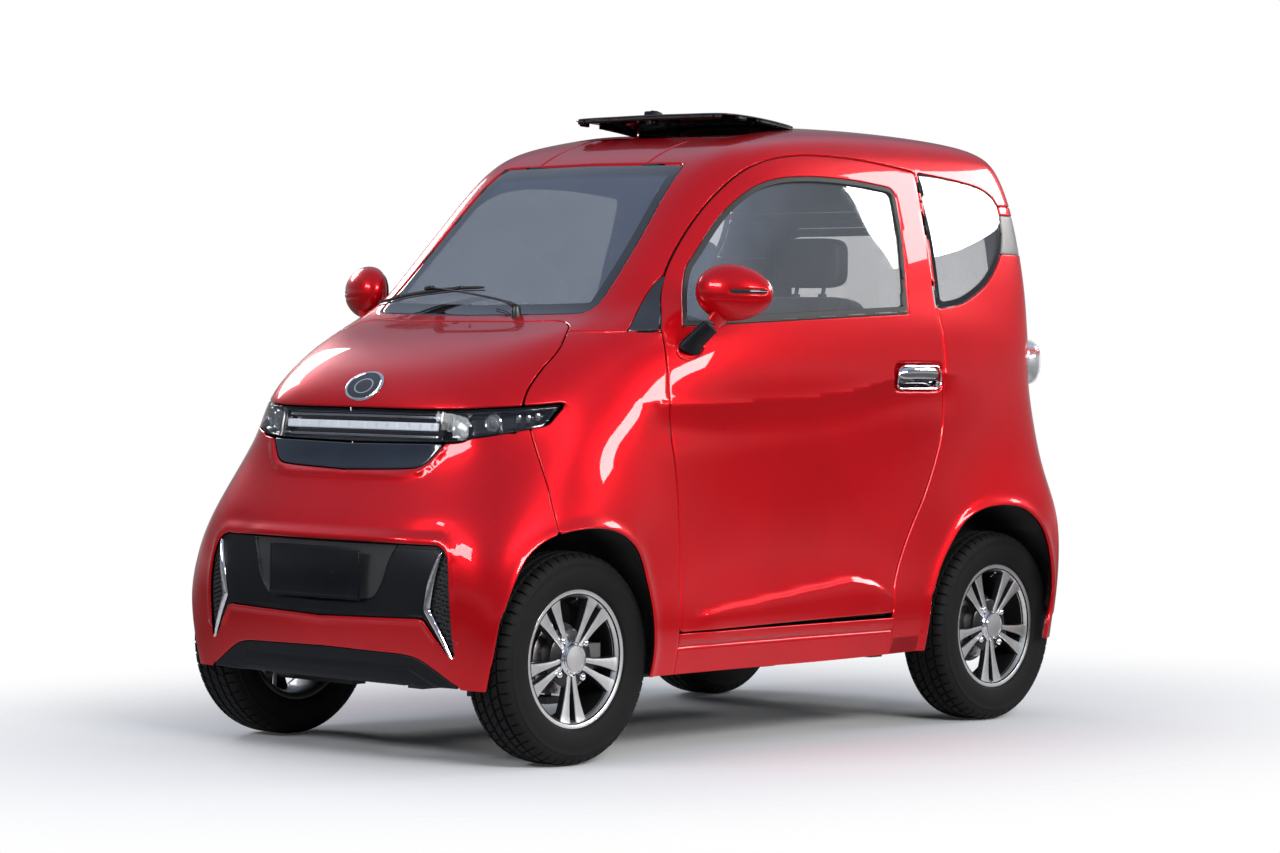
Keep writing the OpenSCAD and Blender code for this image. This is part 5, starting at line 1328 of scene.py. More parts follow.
# number plates, blank
pl = Build()
pl.box((-155, -1169.5, 391), (155, -1165.2, 507), 1.6, 0)
rim_ = [(-151, 395), (151, 395), (151, 503), (-151, 503)]
for a, b in zip(rim_, rim_[1:] + rim_[:1]):
    pl.tube([[a[0], -1169.0, a[1]], [b[0], -1169.0, b[1]]], [1.2, 1.2], 8, 0, up=(0, 1, 0))
pl.box((-157, -1166.5, 386), (157, -1163, 511), 2.5, 1)
for x in (-128, 128):
    pl.box((x - 12, -1165, 425), (x + 12, -1152, 449), 1.0, 1)
for x in (-60, 60):
    pl.lathe([(0.01, 2.6), (3.4, 2.2), (4.6, 0.6), (4.6, -1)], 18, 1, TM((x, -1168.6, 449), (0, 0, -90)), closed=False)
pf = pl.make("front_number_plate", [PLATE, BLACK], 35)
done(pf, "car_body", "plate_black", "number_plates")
pl = Build()
pl.box((-240, 1165.2, 472), (240, 1169.5, 584), 1.6, 0)
pl.box((-244, 1163, 467), (244, 1166.5, 589), 2.5, 1)
rim_ = [(-236, 476), (236, 476), (236, 580), (-236, 580)]
for a, b in zip(rim_, rim_[1:] + rim_[:1]):
    pl.tube([[a[0], 1169.0, a[1]], [b[0], 1169.0, b[1]]], [1.2, 1.2], 8, 0, up=(0, 1, 0))
for x in (-108, 108):
    pl.box((x - 12, 1146, 500), (x + 12, 1165, 524), 1.0, 1)
    pl.lathe([(0.01, 2.6), (3.4, 2.2), (4.6, 0.6), (4.6, -1)], 18, 1, TM((x, 1168.6, 528), (0, 0, 90)), closed=False)
pr_ = pl.make("rear_number_plate", [PLATE, BLACK], 35)
done(pr_, "car_body", "plate_black", "number_plates")

# ------------------------------------------------------------------ mirrors
for s, b_ in ((1, "left"), (-1, "right")):
    Mx = TM(sc=(s, 1, 1))
    A_ = Mx @ TM((642, -387, 1128), (0, 0, 28))
    mb = Build()

    def head(V):
        V = V.copy()
        x, y, z = V[:, 0].copy(), V[:, 1].copy(), V[:, 2].copy()
        sr = np.sqrt(np.clip(1 - y * y, 1e-6, 1))
        k_ = np.where(y > 0, sr ** -0.62, 1.0)
        V[:, 0] = x * k_; V[:, 2] = z * k_
        x, z = V[:, 0].copy(), V[:, 2].copy()
        V[:, 2] = z * (1 - 0.10 * x) - 0.04 * x
        V[:, 1] = np.where(y > 0, y * 0.64, y * (1.0 + 0.04 * x))
        sl = np.exp(-((V[:, 2] - 0.03) / 0.085) ** 4) * smooth((x - 0.02) / 0.06) * smooth((0.90 - x) / 0.05) * (y < 0.1)
        V[:, 1] += 0.09 * sl * (y < 0)
        ln = np.exp(-((V[:, 2] + 0.20 + 0.05 * x) / 0.05) ** 2) * smooth((x + 0.75) / 0.2) * (y < 0.2)
        V[:, 1] += 0.028 * ln
        return V
    mb.ball((0, 0, 0), (96, 57, 69), 96, 64, 0, A_, fun=head)
    # red collar from the head down to the black foot
    up_c = np.array([[628, -398, 1090], [616, -405, 1072], [603, -414, 1054]], float)
    lo_ = np.array([[596, -419, 1046], [578, -430, 1026], [560, -439, 1005], [548, -442, 990]], float)
    neck = cr([tuple(q_) for q_ in up_c], 6)
    mb.tube(neck, np.linspace(20, 16.2, len(neck)), 28, 0, Mx, flat=1.85, up=(0, 1, 0))
    mb.lathe([(68, 30), (71, 33), (71, 37.2), (68.5, 38.6), (66, 36.6), (65, 32)], 64, 1, A_ @ TM((0, 0, 0), (0, 0, 90), (1, 0.98, 0.72)) @ TM(sc=(1, 1.36, 1.36)) @ TM(sc=(1, 0.74, 0.74)))
    mo = mb.make(b_ + "_mirror_head", [RED, BLACK, CHROME], 40)
    done(mo, b_ + "_door_body", "body_paint", b_ + "_mirror")
    gl_ = Build()
    gl_.lathe([(64.5, 34), (64.5, 37.0), (0.01, 38.2)][::-1], 64, 0, A_ @ TM((0, 0, 0), (0, 0, 90), (1, 0.98, 0.72)), closed=False)
    done(gl_.make(b_ + "_mirror_glass", [CHROME], 40), b_ + "_door_body", "chrome")
    st = Build()
    path = cr([tuple(q_) for q_ in lo_[::-1]], 7)
    st.tube(path, np.interp(np.linspace(0, 1, len(path)), [0, 0.15, 0.45, 1], [22, 20.5, 18, 16.4]), 32, 0, Mx, flat=1.9, up=(0, 1, 0))
    # lamp strip in the slot
    def on_head(u_, v_):
        y_ = -57 * math.sqrt(max(0.05, 1 - (u_ / 96) ** 2 - (v_ / 69) ** 2)) * (1 + 0.04 * u_ / 96)
        return y_
    for k in range(11):
        x0 = 8 + k * 6.6
        yy = on_head(x0 + 2.5, 2.0)
        st.box((x0, yy + 2.4, -3.2), (x0 + 4.6, yy + 10, 7.6), 1.0, 1, A_)
    sl_ = np.array([[x0, on_head(x0, 2.0) + 7.0, 2.2] for x0 in np.linspace(4, 84, 22)])
    st.tube(sl_, 6.5, 12, 1, A_, flat=1.0)
    done(st.make(b_ + "_mirror_foot", [BLACK, GLOSS], 40), b_ + "_door_body", "black_plastic")
    rg_ = Build()
    an = np.linspace(0, 2 * math.pi, 41)[:-1]
    ry, rz = -441 + 46 * np.cos(an) * math.cos(.25) - 25 * np.sin(an) * math.sin(.25), 991 + 46 * np.cos(an) * math.sin(.25) + 25 * np.sin(an) * math.cos(.25)
    rx = surf_x(ry, rz)
    pts_ = [(x_ + 0.4, y_, z_) for x_, y_, z_ in zip(rx, ry, rz)]
    rg_.tube(pts_ + pts_[:2], 3.4, 10, 0, Mx, up=(1, 0, 0))
    done(rg_.make(b_ + "_mirror_seat_ring", [RED], 40), b_ + "_door_body", "body_paint")

# satin grey ledge under the door windows; its grey base colour is the trim's tone plus a painted sky reflection
for s, b_ in ((1, "left"), (-1, "right")):
    lg = panel(b_ + "_window_ledge", lambda P: np.maximum(np.maximum(fW(P) + 3.0, -(fW(P) + 15.0)), P[..., 2] - (1074 + 0.055 * P[..., 1])), 4.0, [SATIN_GREY_AND_PAINTED_SKY_REFLECTION, SEAL], sink=-0.6, rnd=1.5, sides=(s,), target=12.0, use_relief=False)
    done(lg, b_ + "_door_body", "black_plastic")

# ------------------------------------------------------------------ door handles: a chrome paddle bridging a dished cup
for s, b_ in ((1, "left"), (-1, "right")):
    Mx = TM(sc=(s, 1, 1))
    h = Build()
    yy = np.linspace(352, 520, 22)
    xs_ = surf_x(np.clip(yy, 340, 532), np.full(22, 928.0))
    V = []; F = []; L = 14
    for i, (y, xv) in enumerate(zip(yy, xs_)):
        t_ = i / 21
        env = math.sqrt(max(0.0, 1 - abs(2 * t_ - 1) ** 5))
        hh = 26 * (0.30 + 0.70 * env)
        zc = 926 + 3 * math.sin(math.pi * t_)
        out = 3.0 + 6.5 * math.sin(math.pi * min(1, max(0, t_))) ** 0.6
        for k in range(L):
            th = 2 * math.pi * k / L
            V.append([xv + out - 6 + 7.5 * math.cos(th) * (0.4 + 0.6 * env), y, zc + 6 + hh * 0.62 * math.sin(th)])
    for i in range(21):
        for k in range(L):
            F.append((i * L + k, i * L + (k + 1) % L, (i + 1) * L + (k + 1) % L, (i + 1) * L + k))
    F.append(tuple(range(L))[::-1]); F.append(tuple(21 * L + k for k in range(L)))
    h.add(V, [f[::-1] for f in F], 0, Mx)
    h.lathe([(0.01, 6), (6.5, 5.5), (8.0, 3.5), (8.0, -6)], 24, 0, Mx @ TM((float(xs_[18]) + 0.5, 512, 906)), closed=False)
    h.lathe([(0.01, 6.6), (2.0, 6.6), (2.0, 5.0)], 12, 1, Mx @ TM((float(xs_[18]) + 0.5, 512, 906)), closed=False)
    # bright frame round the cup
    ring = spline([(344, 893, 18), (530, 893, 24), (530, 952, 24), (352, 952, 26)], 6.0)
    xr = surf_x(ring[:, 0], ring[:, 1])
    rp = [(x + 0.2, y, z) for x, (y, z) in zip(xr, ring)]
    rp = rp + rp[:2]
    h.tube(rp, 2.6, 8, 0, Mx, up=(1, 0, 0))
    done(h.make(b_ + "_door_handle_chrome", [CHROME, BLACK], 40), b_ + "_door_body", "chrome", b_ + "_door_handle")
    c = Build()
    # black cup liner
    V = []; F = []
    n_ = 40
    rr_ = spline([(352, 898, 16), (522, 898, 20), (522, 946, 20), (358, 946, 22)], 5.0)
    cx_, cz_ = rr_.mean(0)
    rings_ = []
    for f_, dx in ((1.0, -3.5), (0.9, -9.5), (0.6, -13.5), (0.02, -14.5)):
        q = np.stack([cx_ + (rr_[:, 0] - cx_) * f_, cz_ + (rr_[:, 1] - cz_) * f_], 1)
        xq = surf_x(q[:, 0], q[:, 1]) + dx
        rings_.append(np.stack([xq, q[:, 0], q[:, 1]], 1))
    m_ = len(rr_)
    V = np.concatenate(rings_ + [r_ - np.array([1.2, 0, 0]) for r_ in rings_])
    k4 = len(rings_)
    for i in range(k4 - 1):
        for k in range(m_):
            a, b2, c2, d2 = i * m_ + k, i * m_ + (k + 1) % m_, (i + 1) * m_ + (k + 1) % m_, (i + 1) * m_ + k
            F.append((a, b2, c2, d2)); o_ = k4 * m_; F.append((a + o_, d2 + o_, c2 + o_, b2 + o_))
    for k in range(m_):
        F.append((k, k + k4 * m_, (k + 1) % m_ + k4 * m_, (k + 1) % m_))
        a = (k4 - 1) * m_; F.append((a + k, a + (k + 1) % m_, a + (k + 1) % m_ + k4 * m_, a + k + k4 * m_))
    c.add(V, F, 0, Mx)
    done(c.make(b_ + "_handle_cup", [GLOSS], 50), b_ + "_door_body", "gloss_black")

# ------------------------------------------------------------------ wiper
wp = Build()
wp.lathe([(0.01, 44), (6, 44), (9, 42), (11, 38), (12.5, 20), (13, 0)], 28, 0, TM((162, -650, 1050)) @ TM(rot=(-14, -90, 0)), closed=False)
arm = cr([(163, -657, 1091), (128, -652, 1101), (60, -642, 1112), (-60, -624, 1126), (-186, -606, 1138)], 8)
wp.tube(arm, np.interp(np.linspace(0, 1, len(arm)), [0, 0.12, 0.3, 1], [10.5, 9.5, 6.0, 4.2]), 12, 0, flat=0.55)
wp.box((-16, -6, -4), (16, 6, 5), 2.0, 0, TM((-188, -605, 1136), (0, -6, -8)))
bl = cr([(-342, -634, 1098), (-268, -616, 1116), (-190, -601, 1127), (-104, -589, 1135), (-18, -581, 1138)], 10)
wp.tube(bl, np.interp(np.linspace(0, 1, len(bl)), [0, 0.05, 0.45, 0.55, 0.95, 1], [1.8, 3.2, 4.2, 4.2, 3.2, 1.8]), 10, 0, flat=1.25)
wp.tube(bl + np.array([0, 3.5, -7.0]), 1.6, 8, 1)
for f_ in (0.22, 0.78):
    i_ = int(f_ * (len(bl) - 1))
    wp.box((-9, -4, -3), (9, 4, 4), 1.2, 0, TM(tuple(bl[i_] + np.array([0, 0, 2.0])), (0, -5, -10)))
for k in range(2):
    wp.tube(cr([(150 + 9 * k, -652, 1062), (120, -646, 1072 + 6 * k), (84, -640, 1078 + 5 * k)], 4), 1.3, 8, 1)
done(wp.make("windscreen_wiper", [WIPERM, SEAL], 40), "car_body", "wiper_black", "wiper")

# ------------------------------------------------------------------ tail lamps
for s, b_ in ((1, "left"), (-1, "right")):
    t = Build()
    A_ = TM(sc=(s, 1, 1)) @ TM((500, 1000, 965), (0, 0, 0)) @ TM(rot=(0, 0, -38))

    def lampf(V, k=1.0):
        V = V.copy()
        return V
    t.ball((0, 0, 0), (44, 41, 61), 56, 40, 0, A_, e1=0.8, e2=0.85)
    t.ball((0, 0, 0), (40.5, 37.5, 57.5), 40, 32, 1, A_, e1=0.8, e2=0.85)
    t.ball((0, 0, 26), (42, 39.3, 20), 40, 24, 2, A_, e1=0.9, e2=0.85)
    done(t.make(b_ + "_tail_lamp", [CLEAR, REFLECT, REDLENS], 40), "car_body", "lamp_lens", "tail_lamps")
    g_ = Build()
    # dark gasket where the lamp meets the body
    g_.lathe([(46, -14), (49, -12), (49, -6), (46, -4)], 56, 0, A_ @ TM((0, -18, 0), (0, 0, 90), (1, 1.0, 1.32)))
    done(g_.make(b_ + "_tail_lamp_gasket", [SEAL], 40), "car_body", "wiper_black")

# ------------------------------------------------------------------ roof glass, raised at the front
TT = np.array(Matrix.Translation((0, 296, 1584)) @ Matrix.Rotation(math.radians(-11.4), 4, "X") @ Matrix.Translation((0, -296, -1584)))


def raised(V, Nn):
    return V @ TT[:3, :3].T + TT[:3, 3], Nn @ TT[:3, :3].T


ROOFG = [(0, 8), (280, 8, 45), (280, 290, 45), (0, 290)]
fRG = plan(ROOFG, 8.0)
topz = zmin(1440.0)
rg = panel("roof_glass_pane", inter(fRG, topz), 4.0, [FRIT], sink=-3.0, rnd=2.5, bands=[-22.0], band_mats=[DGLASS], inner_mat=None, centre=True, vr=(11, NV), target=24.0, xform=raised, use_relief=False)
done(rg, "sunroof_body", "dark_glass", "sunroof_glass")
rs = panel("roof_glass_seal", inter(lambda P: fRG(P) - 0.5, lambda P: -(fRG(P) + 10.0), topz), 10.0, [SEAL, SEAL], sink=1.6, rnd=1.5, centre=True, vr=(11, NV), target=24.0, xform=raised, use_relief=False)
done(rs, "sunroof_body", "wiper_black")
rl = Build()
rl.box((-15, 20, 1522), (15, 36, 1552), 3.0, 0, TT)
rl.box((-22, 14, 1544), (22, 40, 1556), 3.0, 0, TT)
rl.box((-9, 12, 1518), (9, 22, 1546), 2.5, 0, TT)
rl.lathe([(0.01, 4), (9, 4), (10, 2), (10, -10)], 24, 0, TT @ TM((0, 28, 1554), (0, -90, 0)), closed=False)
for x in (-150, 150):
    rl.box((x - 20, 262, 1556), (x + 20, 284, 1578), 3.0, 0, TT)
done(rl.make("roof_glass_latch", [BLACK], 40), "sunroof_body", "black_plastic")
# channel under the roof opening
def latch_notch(P):
    x, y = np.abs(P[..., 0]), P[..., 1]
    return -np.minimum(np.maximum(x - 36.0, y - 56.0), np.maximum(np.abs(x - 150.0) - 30.0, 250.0 - y))


ch = panel("roof_opening_channel", inter(lambda P: fRG(P) - 5.0, lambda P: -(fRG(P) + 9.0), topz, latch_notch), 6.0, [SEAL, TRIML], sink=14.0, rnd=1.5, centre=True, vr=(11, NV), target=18.0, use_relief=False)
done(ch, "car_body", "wiper_black")

# ------------------------------------------------------------------ CABIN
def mat_cloth(name, col, col2, scale=700.0):
    m, nt, bs = nodes(name)
    tc = N(nt, "ShaderNodeTexCoord")
    wv = []
    for ax in (0, 2):
        mp = N(nt, "ShaderNodeMapping"); mp.inputs["Rotation"].default_value = (0, 0.4 * ax, 0.785 + 1.57 * (ax > 0))
        nt.links.new(tc.outputs["Object"], mp.inputs["Vector"])
        w_ = N(nt, "ShaderNodeTexWave"); w_.inputs["Scale"].default_value = scale / 6.0; w_.inputs["Distortion"].default_value = 0.6
        nt.links.new(mp.outputs["Vector"], w_.inputs["Vector"]); wv.append(w_.outputs["Fac"])
    mx_ = N(nt, "ShaderNodeMath", operation="MAXIMUM"); nt.links.new(wv[0], mx_.inputs[0]); nt.links.new(wv[1], mx_.inputs[1])
    big = noise(nt, 8.0, 3.0)
    mm = N(nt, "ShaderNodeMix", data_type="FLOAT"); mm.inputs[0].default_value = 0.5
    nt.links.new(mx_.outputs[0], mm.inputs[2]); nt.links.new(big, mm.inputs[3])
    nt.links.new(ramp(nt, mm.outputs[0], [(0.2, col), (0.85, col2)]), bs.inputs["Base Color"])
    nt.links.new(remap(nt, big, 0.72, 0.92), bs.inputs["Roughness"])
    bump(nt, bs, mx_.outputs[0], 0.0004, 0.6)
    setp(bs, Sheen_Weight=0.25)
    return m


CLOTH = mat_cloth("seat_cloth_dark", (0.012, 0.012, 0.014), (0.040, 0.040, 0.044))
LEATH = mat_plastic("seat_bolster_vinyl", (0.020, 0.020, 0.022), 0.50, 420.0, 0.0003, spec=0.35)
PIPE = mat_plastic("seat_piping_red", (0.34, 0.010, 0.016), 0.5, 300.0, 0.0001, spec=0.3)


def soft(V, grooves, bol, ax_up, gd=0.05, crown=0.06):
    """puffed cushion: crowned top, raised side bolsters, sewn channels"""
    V = V.copy()
    x = V[:, 0]; w_ = V[:, 1 if ax_up == 2 else 2]; t_ = V[:, ax_up]
    top = smooth((t_ * (1 if bol > 0 else -1)) / 0.4)
    h = abs(bol) * smooth((np.abs(x) - 0.56) / 0.26) * smooth((1.02 - np.abs(w_)) / 0.2)
    for g_ in grooves:
        h = h - gd * np.exp(-((w_ - g_) / 0.045) ** 2) * smooth((0.60 - np.abs(x)) / 0.05)
    h = h - gd * 1.25 * np.exp(-((np.abs(x) - 0.60) / 0.035) ** 2)
    h = h + crown * (1 - x ** 2) * (1 - w_ ** 2)
    V[:, ax_up] = t_ + np.sign(bol) * h * top
    # sides pull in between the corners
    V[:, 0] = x * (1 - 0.035 * (1 - w_ ** 2) * (np.abs(x) > 0.6))
    return V


def lean(ob_build):
    return ob_build


for s, b_ in ((1, "left"), (-1, "right")):
    cu = Build()
    cu.ball((0, 0, 0), (204, 158, 41), 80, 52, 0, TM((s * 228, 101, 505), (0, 3.4 if False else 0, 0)), e1=0.42, e2=0.30, fun=lambda V: soft(V, (-0.42, 0.0, 0.42), 0.42, 2, 0.20, 0.16))
    co_ = cu.make(b_ + "_seat_cushion", [CLOTH], 60)
    bk = Build()
    Tb = TM((s * 228, 352, 845)) @ TM(rot=(-10.2, 0, 0))
    bk.ball((0, 0, 0), (200, 34, 288), 80, 80, 0, Tb, e1=0.30, e2=0.36, fun=lambda V: soft(V, (-0.62, -0.32, 0.0, 0.32, 0.62), -0.60, 1, 0.20, 0.22))
    bo_ = bk.make(b_ + "_seat_backrest", [CLOTH], 60)
    hd = Build()
    hd.ball((0, 0, 0), (116, 32, 66), 52, 34, 0, TM((s * 228, 408, 1221)), e1=0.45, e2=0.45, fun=lambda V: soft(V, (), -0.12, 1, 0.10, 0.10))
    ho_ = hd.make(b_ + "_seat_headrest", [LEATH], 60)
    hw_ = Build()
    for x in (-46, 46):
        hw_.tube([[s * 228 + x, 398, 1128], [s * 228 + x, 404, 1146], [s * 228 + x, 408, 1166]], 5.5, 14, 1)
        hw_.lathe([(0.01, 5), (11, 5), (12, 2), (12, -4)], 20, 0, TM((s * 228 + x, 400, 1134)) @ TM(rot=(0, -90, 0)), closed=False)
    hw_.box((s * 228 - 165, -24, 250), (s * 228 + 165, 232, 458), 12, 0)
    for x in (-150, 150):
        hw_.box((s * 228 + x - 12, -40, 249), (s * 228 + x + 12, 252, 268), 3, 1)
    hw_.tube([[s * (228 + 178), 60, 470], [s * (228 + 182), 20, 474], [s * (228 + 182), -26, 480]], [7, 7, 8], 12, 0)
    hs = hw_.make(b_ + "_seat_base", [TRIM, STEEL], 40)
    # attach the seat parts to the car body; the cushion also hides the CAD seats
    for o_, rep_ in ((co_, True), (bo_, False), (ho_, False), (hs, False)):
        done(o_, "car_body", "seat_cover") if not rep_ else done(o_, "car_body", "seat_cover", "seats")

# steering wheel
nW = np.array([0, math.sin(math.radians(62)), math.cos(math.radians(62))])
Ts = np.eye(4); Ts[:3, 0] = nW; Ts[:3, 1] = [1, 0, 0]; Ts[:3, 2] = np.cross(nW, [1, 0, 0]); Ts[:3, 3] = [225, -265, 950]
sw = Build()
an = np.linspace(0, 2 * math.pi, 19)[:-1]
sw.lathe([(170 + 13.2 * math.cos(t), 14.5 * math.sin(t)) for t in an][::-1], 96, 0, Ts)
sw.lathe([(0.01, 22), (20, 22), (34, 19), (41, 13), (43, 4), (42, -8), (36, -20)][::-1], 48, 0, Ts, closed=False)
for k, wd in ((0, 1), (180, 1), (270, 0.8)):
    a = math.radians(k)
    e_ = np.array([0, math.cos(a), -math.sin(a)])   # local Y is right, local Z is down
    if k == 270:
        e_ = np.array([0, 0, 1.0])
    pts = [np.array([4 + 8 * (1 - q_), 0, 0]) + e_ * (30 + 134 * q_) for q_ in np.linspace(0, 1, 8)]
    pw_ = np.array([Ts[:3, :3] @ q_ + Ts[:3, 3] for q_ in pts])
    upv = Ts[:3, :3] @ np.array([1.0, 0, 0])
    sw.tube(pw_, np.interp(np.linspace(0, 1, 8), [0, .5, 1], [19 * wd, 14 * wd, 15 * wd]), 16, 0, None, flat=0.42, up=tuple(upv))
    sw.tube(pw_[1:-2] + upv * 3.6, 8.5 * wd, 12, 1, None, flat=0.45, up=tuple(upv))
sw.lathe([(0.01, 23.4), (12, 23.4), (13, 22.0), (13.5, 20)][::-1], 32, 1, Ts, closed=False)
done(sw.make("steering_wheel_rim", [LEATH, SATIN_GREY_AND_PAINTED_SKY_REFLECTION], 40), "steering_wheel_body", "dark_plastic" if "dark_plastic" in str(frame.get("slots", "")) else "black_plastic", "steering_wheel")

# binnacle, centre screen, vents, switches on the dashboard
db = Build()
db.box((128, -500, 984), (322, -402, 1022), 12, 0, seg=3)
db.box((138, -404, 978), (312, -398, 1012), 2.5, 1)
db.box((-86, -452, 962), (86, -430, 1036), 5, 0, seg=3, T=TM((0, -441, 985)) @ TM(rot=(10, 0, 0)) @ TM((0, 441, -985)))
db.box((-78, -431, 968), (78, -428.5, 1030), 1.5, 1, T=TM((0, -441, 985)) @ TM(rot=(10, 0, 0)) @ TM((0, 441, -985)))
for x in (-400, 400):
    Tv = TM((x, -366, 938)) @ TM(rot=(0, 0, 90)) @ TM(rot=(0, -8, 0))
    db.lathe([(34, -6), (36, 0), (34, 5), (31, 6), (29, 2), (29, -6)], 40, 2, Tv)
    for zz in (-18, -9, 0, 9, 18):
        db.box((-2, -math.sqrt(29 ** 2 - zz ** 2), zz - 1.2), (3, math.sqrt(29 ** 2 - zz ** 2), zz + 1.2), 0.6, 0, Tv)
for x in (-60, -20, 20, 60):
    db.box((x - 14, -352, 886), (x + 14, -344, 908), 2.5, 0)
db.lathe([(0.01, 14), (15, 14), (17, 11), (18, 0)][::-1], 32, 2, TM((0, -350, 846)) @ TM(rot=(0, 0, 90)), closed=False)
done(db.make("dashboard_fittings", [TRIM, GLOSS, SATIN_GREY_AND_PAINTED_SKY_REFLECTION], 40), "car_body", "black_plastic")

# door cards with an armrest, a pull and an inner handle
for s, b_ in ((1, "left"), (-1, "right")):
    dc = panel(b_ + "_door_card", lambda P: np.maximum(np.maximum(fD(P) + 12.0, 12.0 - fW(P)), P[..., 2] - 1030.0), 4.0, [TRIM, TRIM], sink=38.0, rnd=2.5, sides=(s,), target=22.0, use_relief=False,
               extra=lambda P: -2.5 * np.exp(-((P[..., 2] - 560.0) / 5.0) ** 2) - 2.5 * np.exp(-((P[..., 2] - 860.0) / 5.0) ** 2))
    done(dc, b_ + "_door_body", "black_plastic")
    ar = Build(); Mx = TM(sc=(s, 1, 1))
    ar.box((482, -210, 690), (528, 230, 732), 14, 0, Mx, seg=3)
    ar.tube(cr([(516, 40, 792), (494, 60, 800), (492, 130, 808), (516, 152, 812)], 6), 9, 14, 0, Mx)
    ar.box((510, -300, 400), (530, 120, 470), 8, 0, Mx, seg=3)
    ar.tube(cr([(516, -170, 880), (502, -160, 884), (500, -110, 888)], 5), [8, 8, 7, 7, 6, 6, 6, 6, 6, 6, 6][:len(cr([(516, -170, 880), (502, -160, 884), (500, -110, 888)], 5))], 12, 1, Mx)
    done(ar.make(b_ + "_armrest", [TRIM, CHROME], 40), b_ + "_door_body", "black_plastic")


KEEP = {"chassis_rails": STEEL, "cross_members": STEEL, "beam_brackets": STEEL, "bumper_beams": STEEL, "floor_pan": LINER, "battery_pack": CASE, "front_subframe": STEEL, "front_arms": STEEL,
        "front_springs": STEEL, "steering_rack": IRON, "rear_axle": IRON, "rear_motor": IRON, "rear_springs": STEEL, "left_knuckle": IRON, "right_knuckle": IRON,
        "chassis_frame": STEEL, "front_suspension": STEEL, "dashboard": TRIM}
KEEP = {k: v for k, v in KEEP.items() if k in frame["nodes"]}


# ------------------------------------------------------------------ CAD nodes that stay, with their finishes
def recoat(name, *mats):
    o = frame["nodes"][name]
    if isinstance(o, str):
        o = bpy.data.objects[o]
    o.data.materials.clear()
    for m in mats:
        o.data.materials.append(m)


for nm, mt in KEEP.items():
    recoat(nm, mt)

# ------------------------------------------------------------------ camera, floor, light
cam = bpy.data.cameras.new("camera")
cam.sensor_width = 36.0; cam.lens = 104.1232; cam.clip_end = 200
co = bpy.data.objects.new("camera", cam); bpy.context.scene.collection.objects.link(co)
yaw, pitch, roll = math.radians(42.1155), math.radians(1.2577), 0.0123
d = Vector((-math.sin(yaw) * math.cos(pitch), math.cos(yaw) * math.cos(pitch), -math.sin(pitch)))
r = d.cross(Vector((0, 0, 1))).normalized(); u = r.cross(d)
r2 = math.cos(roll) * r + math.sin(roll) * u; u2 = -math.sin(roll) * r + math.cos(roll) * u
C = Vector((6.50494633, -7.20661501, 0.99757838))
co.matrix_world = Matrix(((r2.x, u2.x, -d.x, C.x), (r2.y, u2.y, -d.y, C.y), (r2.z, u2.z, -d.z, C.z), (0, 0, 0, 1)))
bpy.context.scene.camera = co

bm = bmesh.new(); bmesh.ops.create_circle(bm, cap_ends=True, radius=6.0, segments=128)
me = bpy.data.meshes.new("floor"); bm.to_mesh(me); bm.free()
floor = bpy.data.objects.new("floor", me); bpy.context.scene.collection.objects.link(floor)
m, nt, bs = nodes("floor_pale")
g = noise(nt, 0.35, 2.0)
nt.links.new(ramp(nt, g, [(0.3, (0.60, 0.60, 0.60)), (0.7, (0.63, 0.63, 0.63))]), bs.inputs["Base Color"])
tc = N(nt, "ShaderNodeTexCoord"); mp = N(nt, "ShaderNodeMapping"); mp.inputs["Scale"].default_value = (1.25, 0.85, 1.0)
nt.links.new(tc.outputs["Object"], mp.inputs["Vector"])
ln = N(nt, "ShaderNodeVectorMath", operation="LENGTH"); nt.links.new(mp.outputs["Vector"], ln.inputs[0])
fd = N(nt, "ShaderNodeMapRange"); fd.interpolation_type = "SMOOTHSTEP"
for k_, v_ in (("From Min", 0.75), ("From Max", 2.7), ("To Min", 1.0), ("To Max", 0.0)):
    fd.inputs[k_].default_value = v_
nt.links.new(ln.outputs["Value"], fd.inputs["Value"]); nt.links.new(fd.outputs["Result"], bs.inputs["Alpha"])
setp(bs, Roughness=0.75)
bs.inputs["Specular IOR Level"].default_value = 0.1
m.surface_render_method = "BLENDED"
me.materials.append(m)

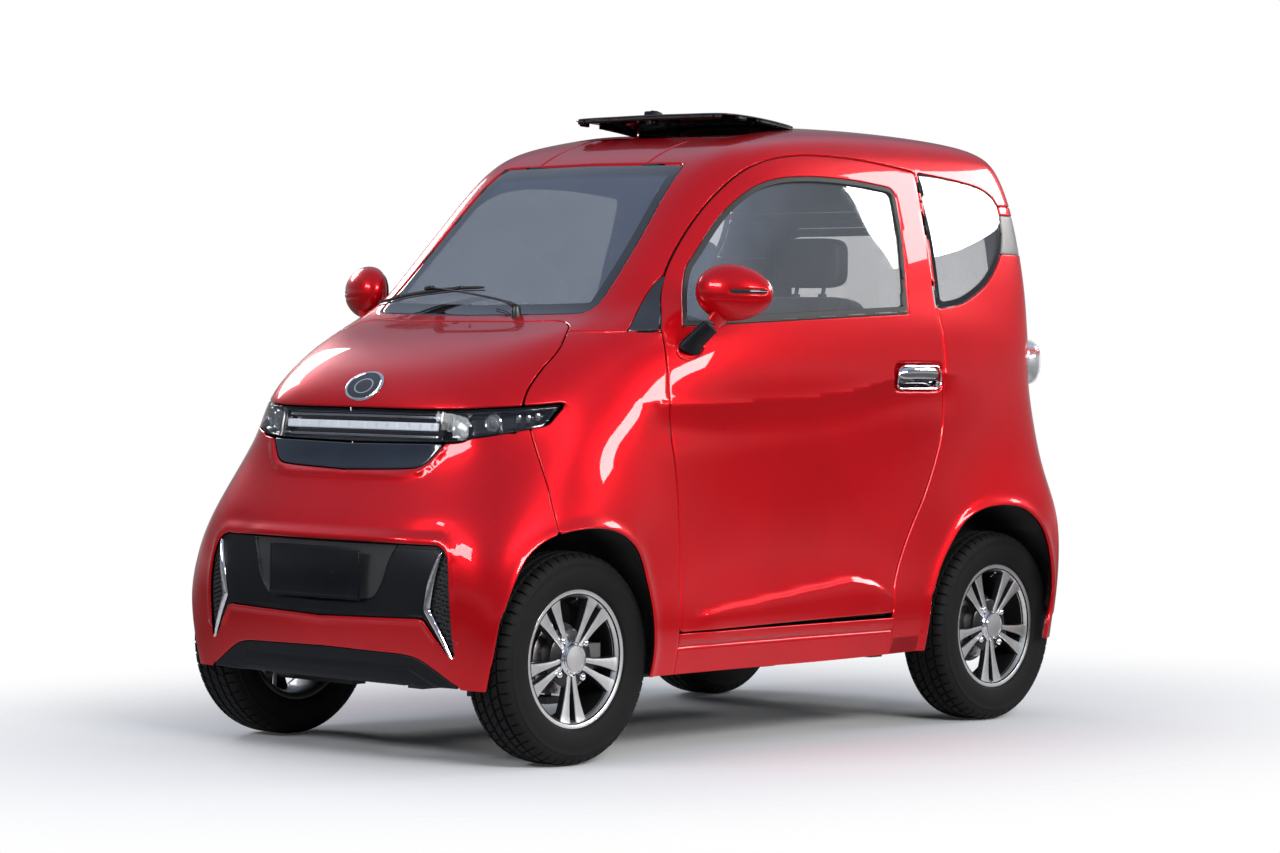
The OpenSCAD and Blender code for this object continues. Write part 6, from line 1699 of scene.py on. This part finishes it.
w = bpy.data.worlds.new("studio"); bpy.context.scene.world = w; w.use_nodes = True
nt = w.node_tree
bg = nt.nodes["Background"]; wo = nt.nodes["World Output"]
tc = N(nt, "ShaderNodeTexCoord"); sx = N(nt, "ShaderNodeSeparateXYZ"); nt.links.new(tc.outputs["Generated"], sx.inputs[0])
mr = N(nt, "ShaderNodeMapRange")
for k_, v_ in (("From Min", -1.0), ("From Max", 1.0)):
    mr.inputs[k_].default_value = v_
nt.links.new(sx.outputs["Z"], mr.inputs["Value"])
col = ramp(nt, mr.outputs["Result"], [(0.0, (0.10, 0.10, 0.10)), (0.46, (0.13, 0.13, 0.135)), (0.52, (0.42, 0.43, 0.45)), (0.57, (0.20, 0.205, 0.22)), (0.68, (0.17, 0.19, 0.235)), (0.80, (0.38, 0.45, 0.58)), (1.0, (0.34, 0.41, 0.55))])
nt.links.new(col, bg.inputs["Color"]); bg.inputs["Strength"].default_value = 1.0
white = N(nt, "ShaderNodeBackground"); white.inputs["Color"].default_value = (1, 1, 1, 1); white.inputs["Strength"].default_value = 1.0
lpn = N(nt, "ShaderNodeLightPath"); mxs = N(nt, "ShaderNodeMixShader")
nt.links.new(lpn.outputs["Is Camera Ray"], mxs.inputs[0]); nt.links.new(bg.outputs[0], mxs.inputs[1]); nt.links.new(white.outputs[0], mxs.inputs[2])
nt.links.new(mxs.outputs[0], wo.inputs["Surface"])


def area(name, loc, target, size, power, size_y=None, col=(1, 1, 1)):
    l = bpy.data.lights.new(name, "AREA"); l.energy = power; l.color = col
    l.shape = "RECTANGLE"; l.size = size; l.size_y = size_y or size
    o = bpy.data.objects.new(name, l); bpy.context.scene.collection.objects.link(o)
    dv = (Vector(target) - Vector(loc)).normalized()
    o.matrix_world = Matrix.Translation(loc) @ dv.to_track_quat("-Z", "Y").to_matrix().to_4x4()
    return o


area("key", (6.2, -2.4, 3.7), (0.3, -0.1, 0.8), 3.0, 400, 1.4, (1.0, 0.98, 0.96))
area("front_top", (-1.2, -6.5, 3.6), (0, -0.8, 0.8), 3.0, 190, 1.0, (0.96, 0.98, 1.0))
area("side_strip", (6.5, 1.6, 2.3), (0.4, 0.2, 0.8), 5.5, 190, 0.5)
area("back_rim", (2.6, 6.0, 3.4), (0, 0.6, 1.0), 3.0, 150, 1.2)
area("far_side", (-6.0, 1.0, 3.5), (0, 0, 0.9), 3.0, 150, 1.5)
bpy.context.scene.view_settings.view_transform = "Standard"
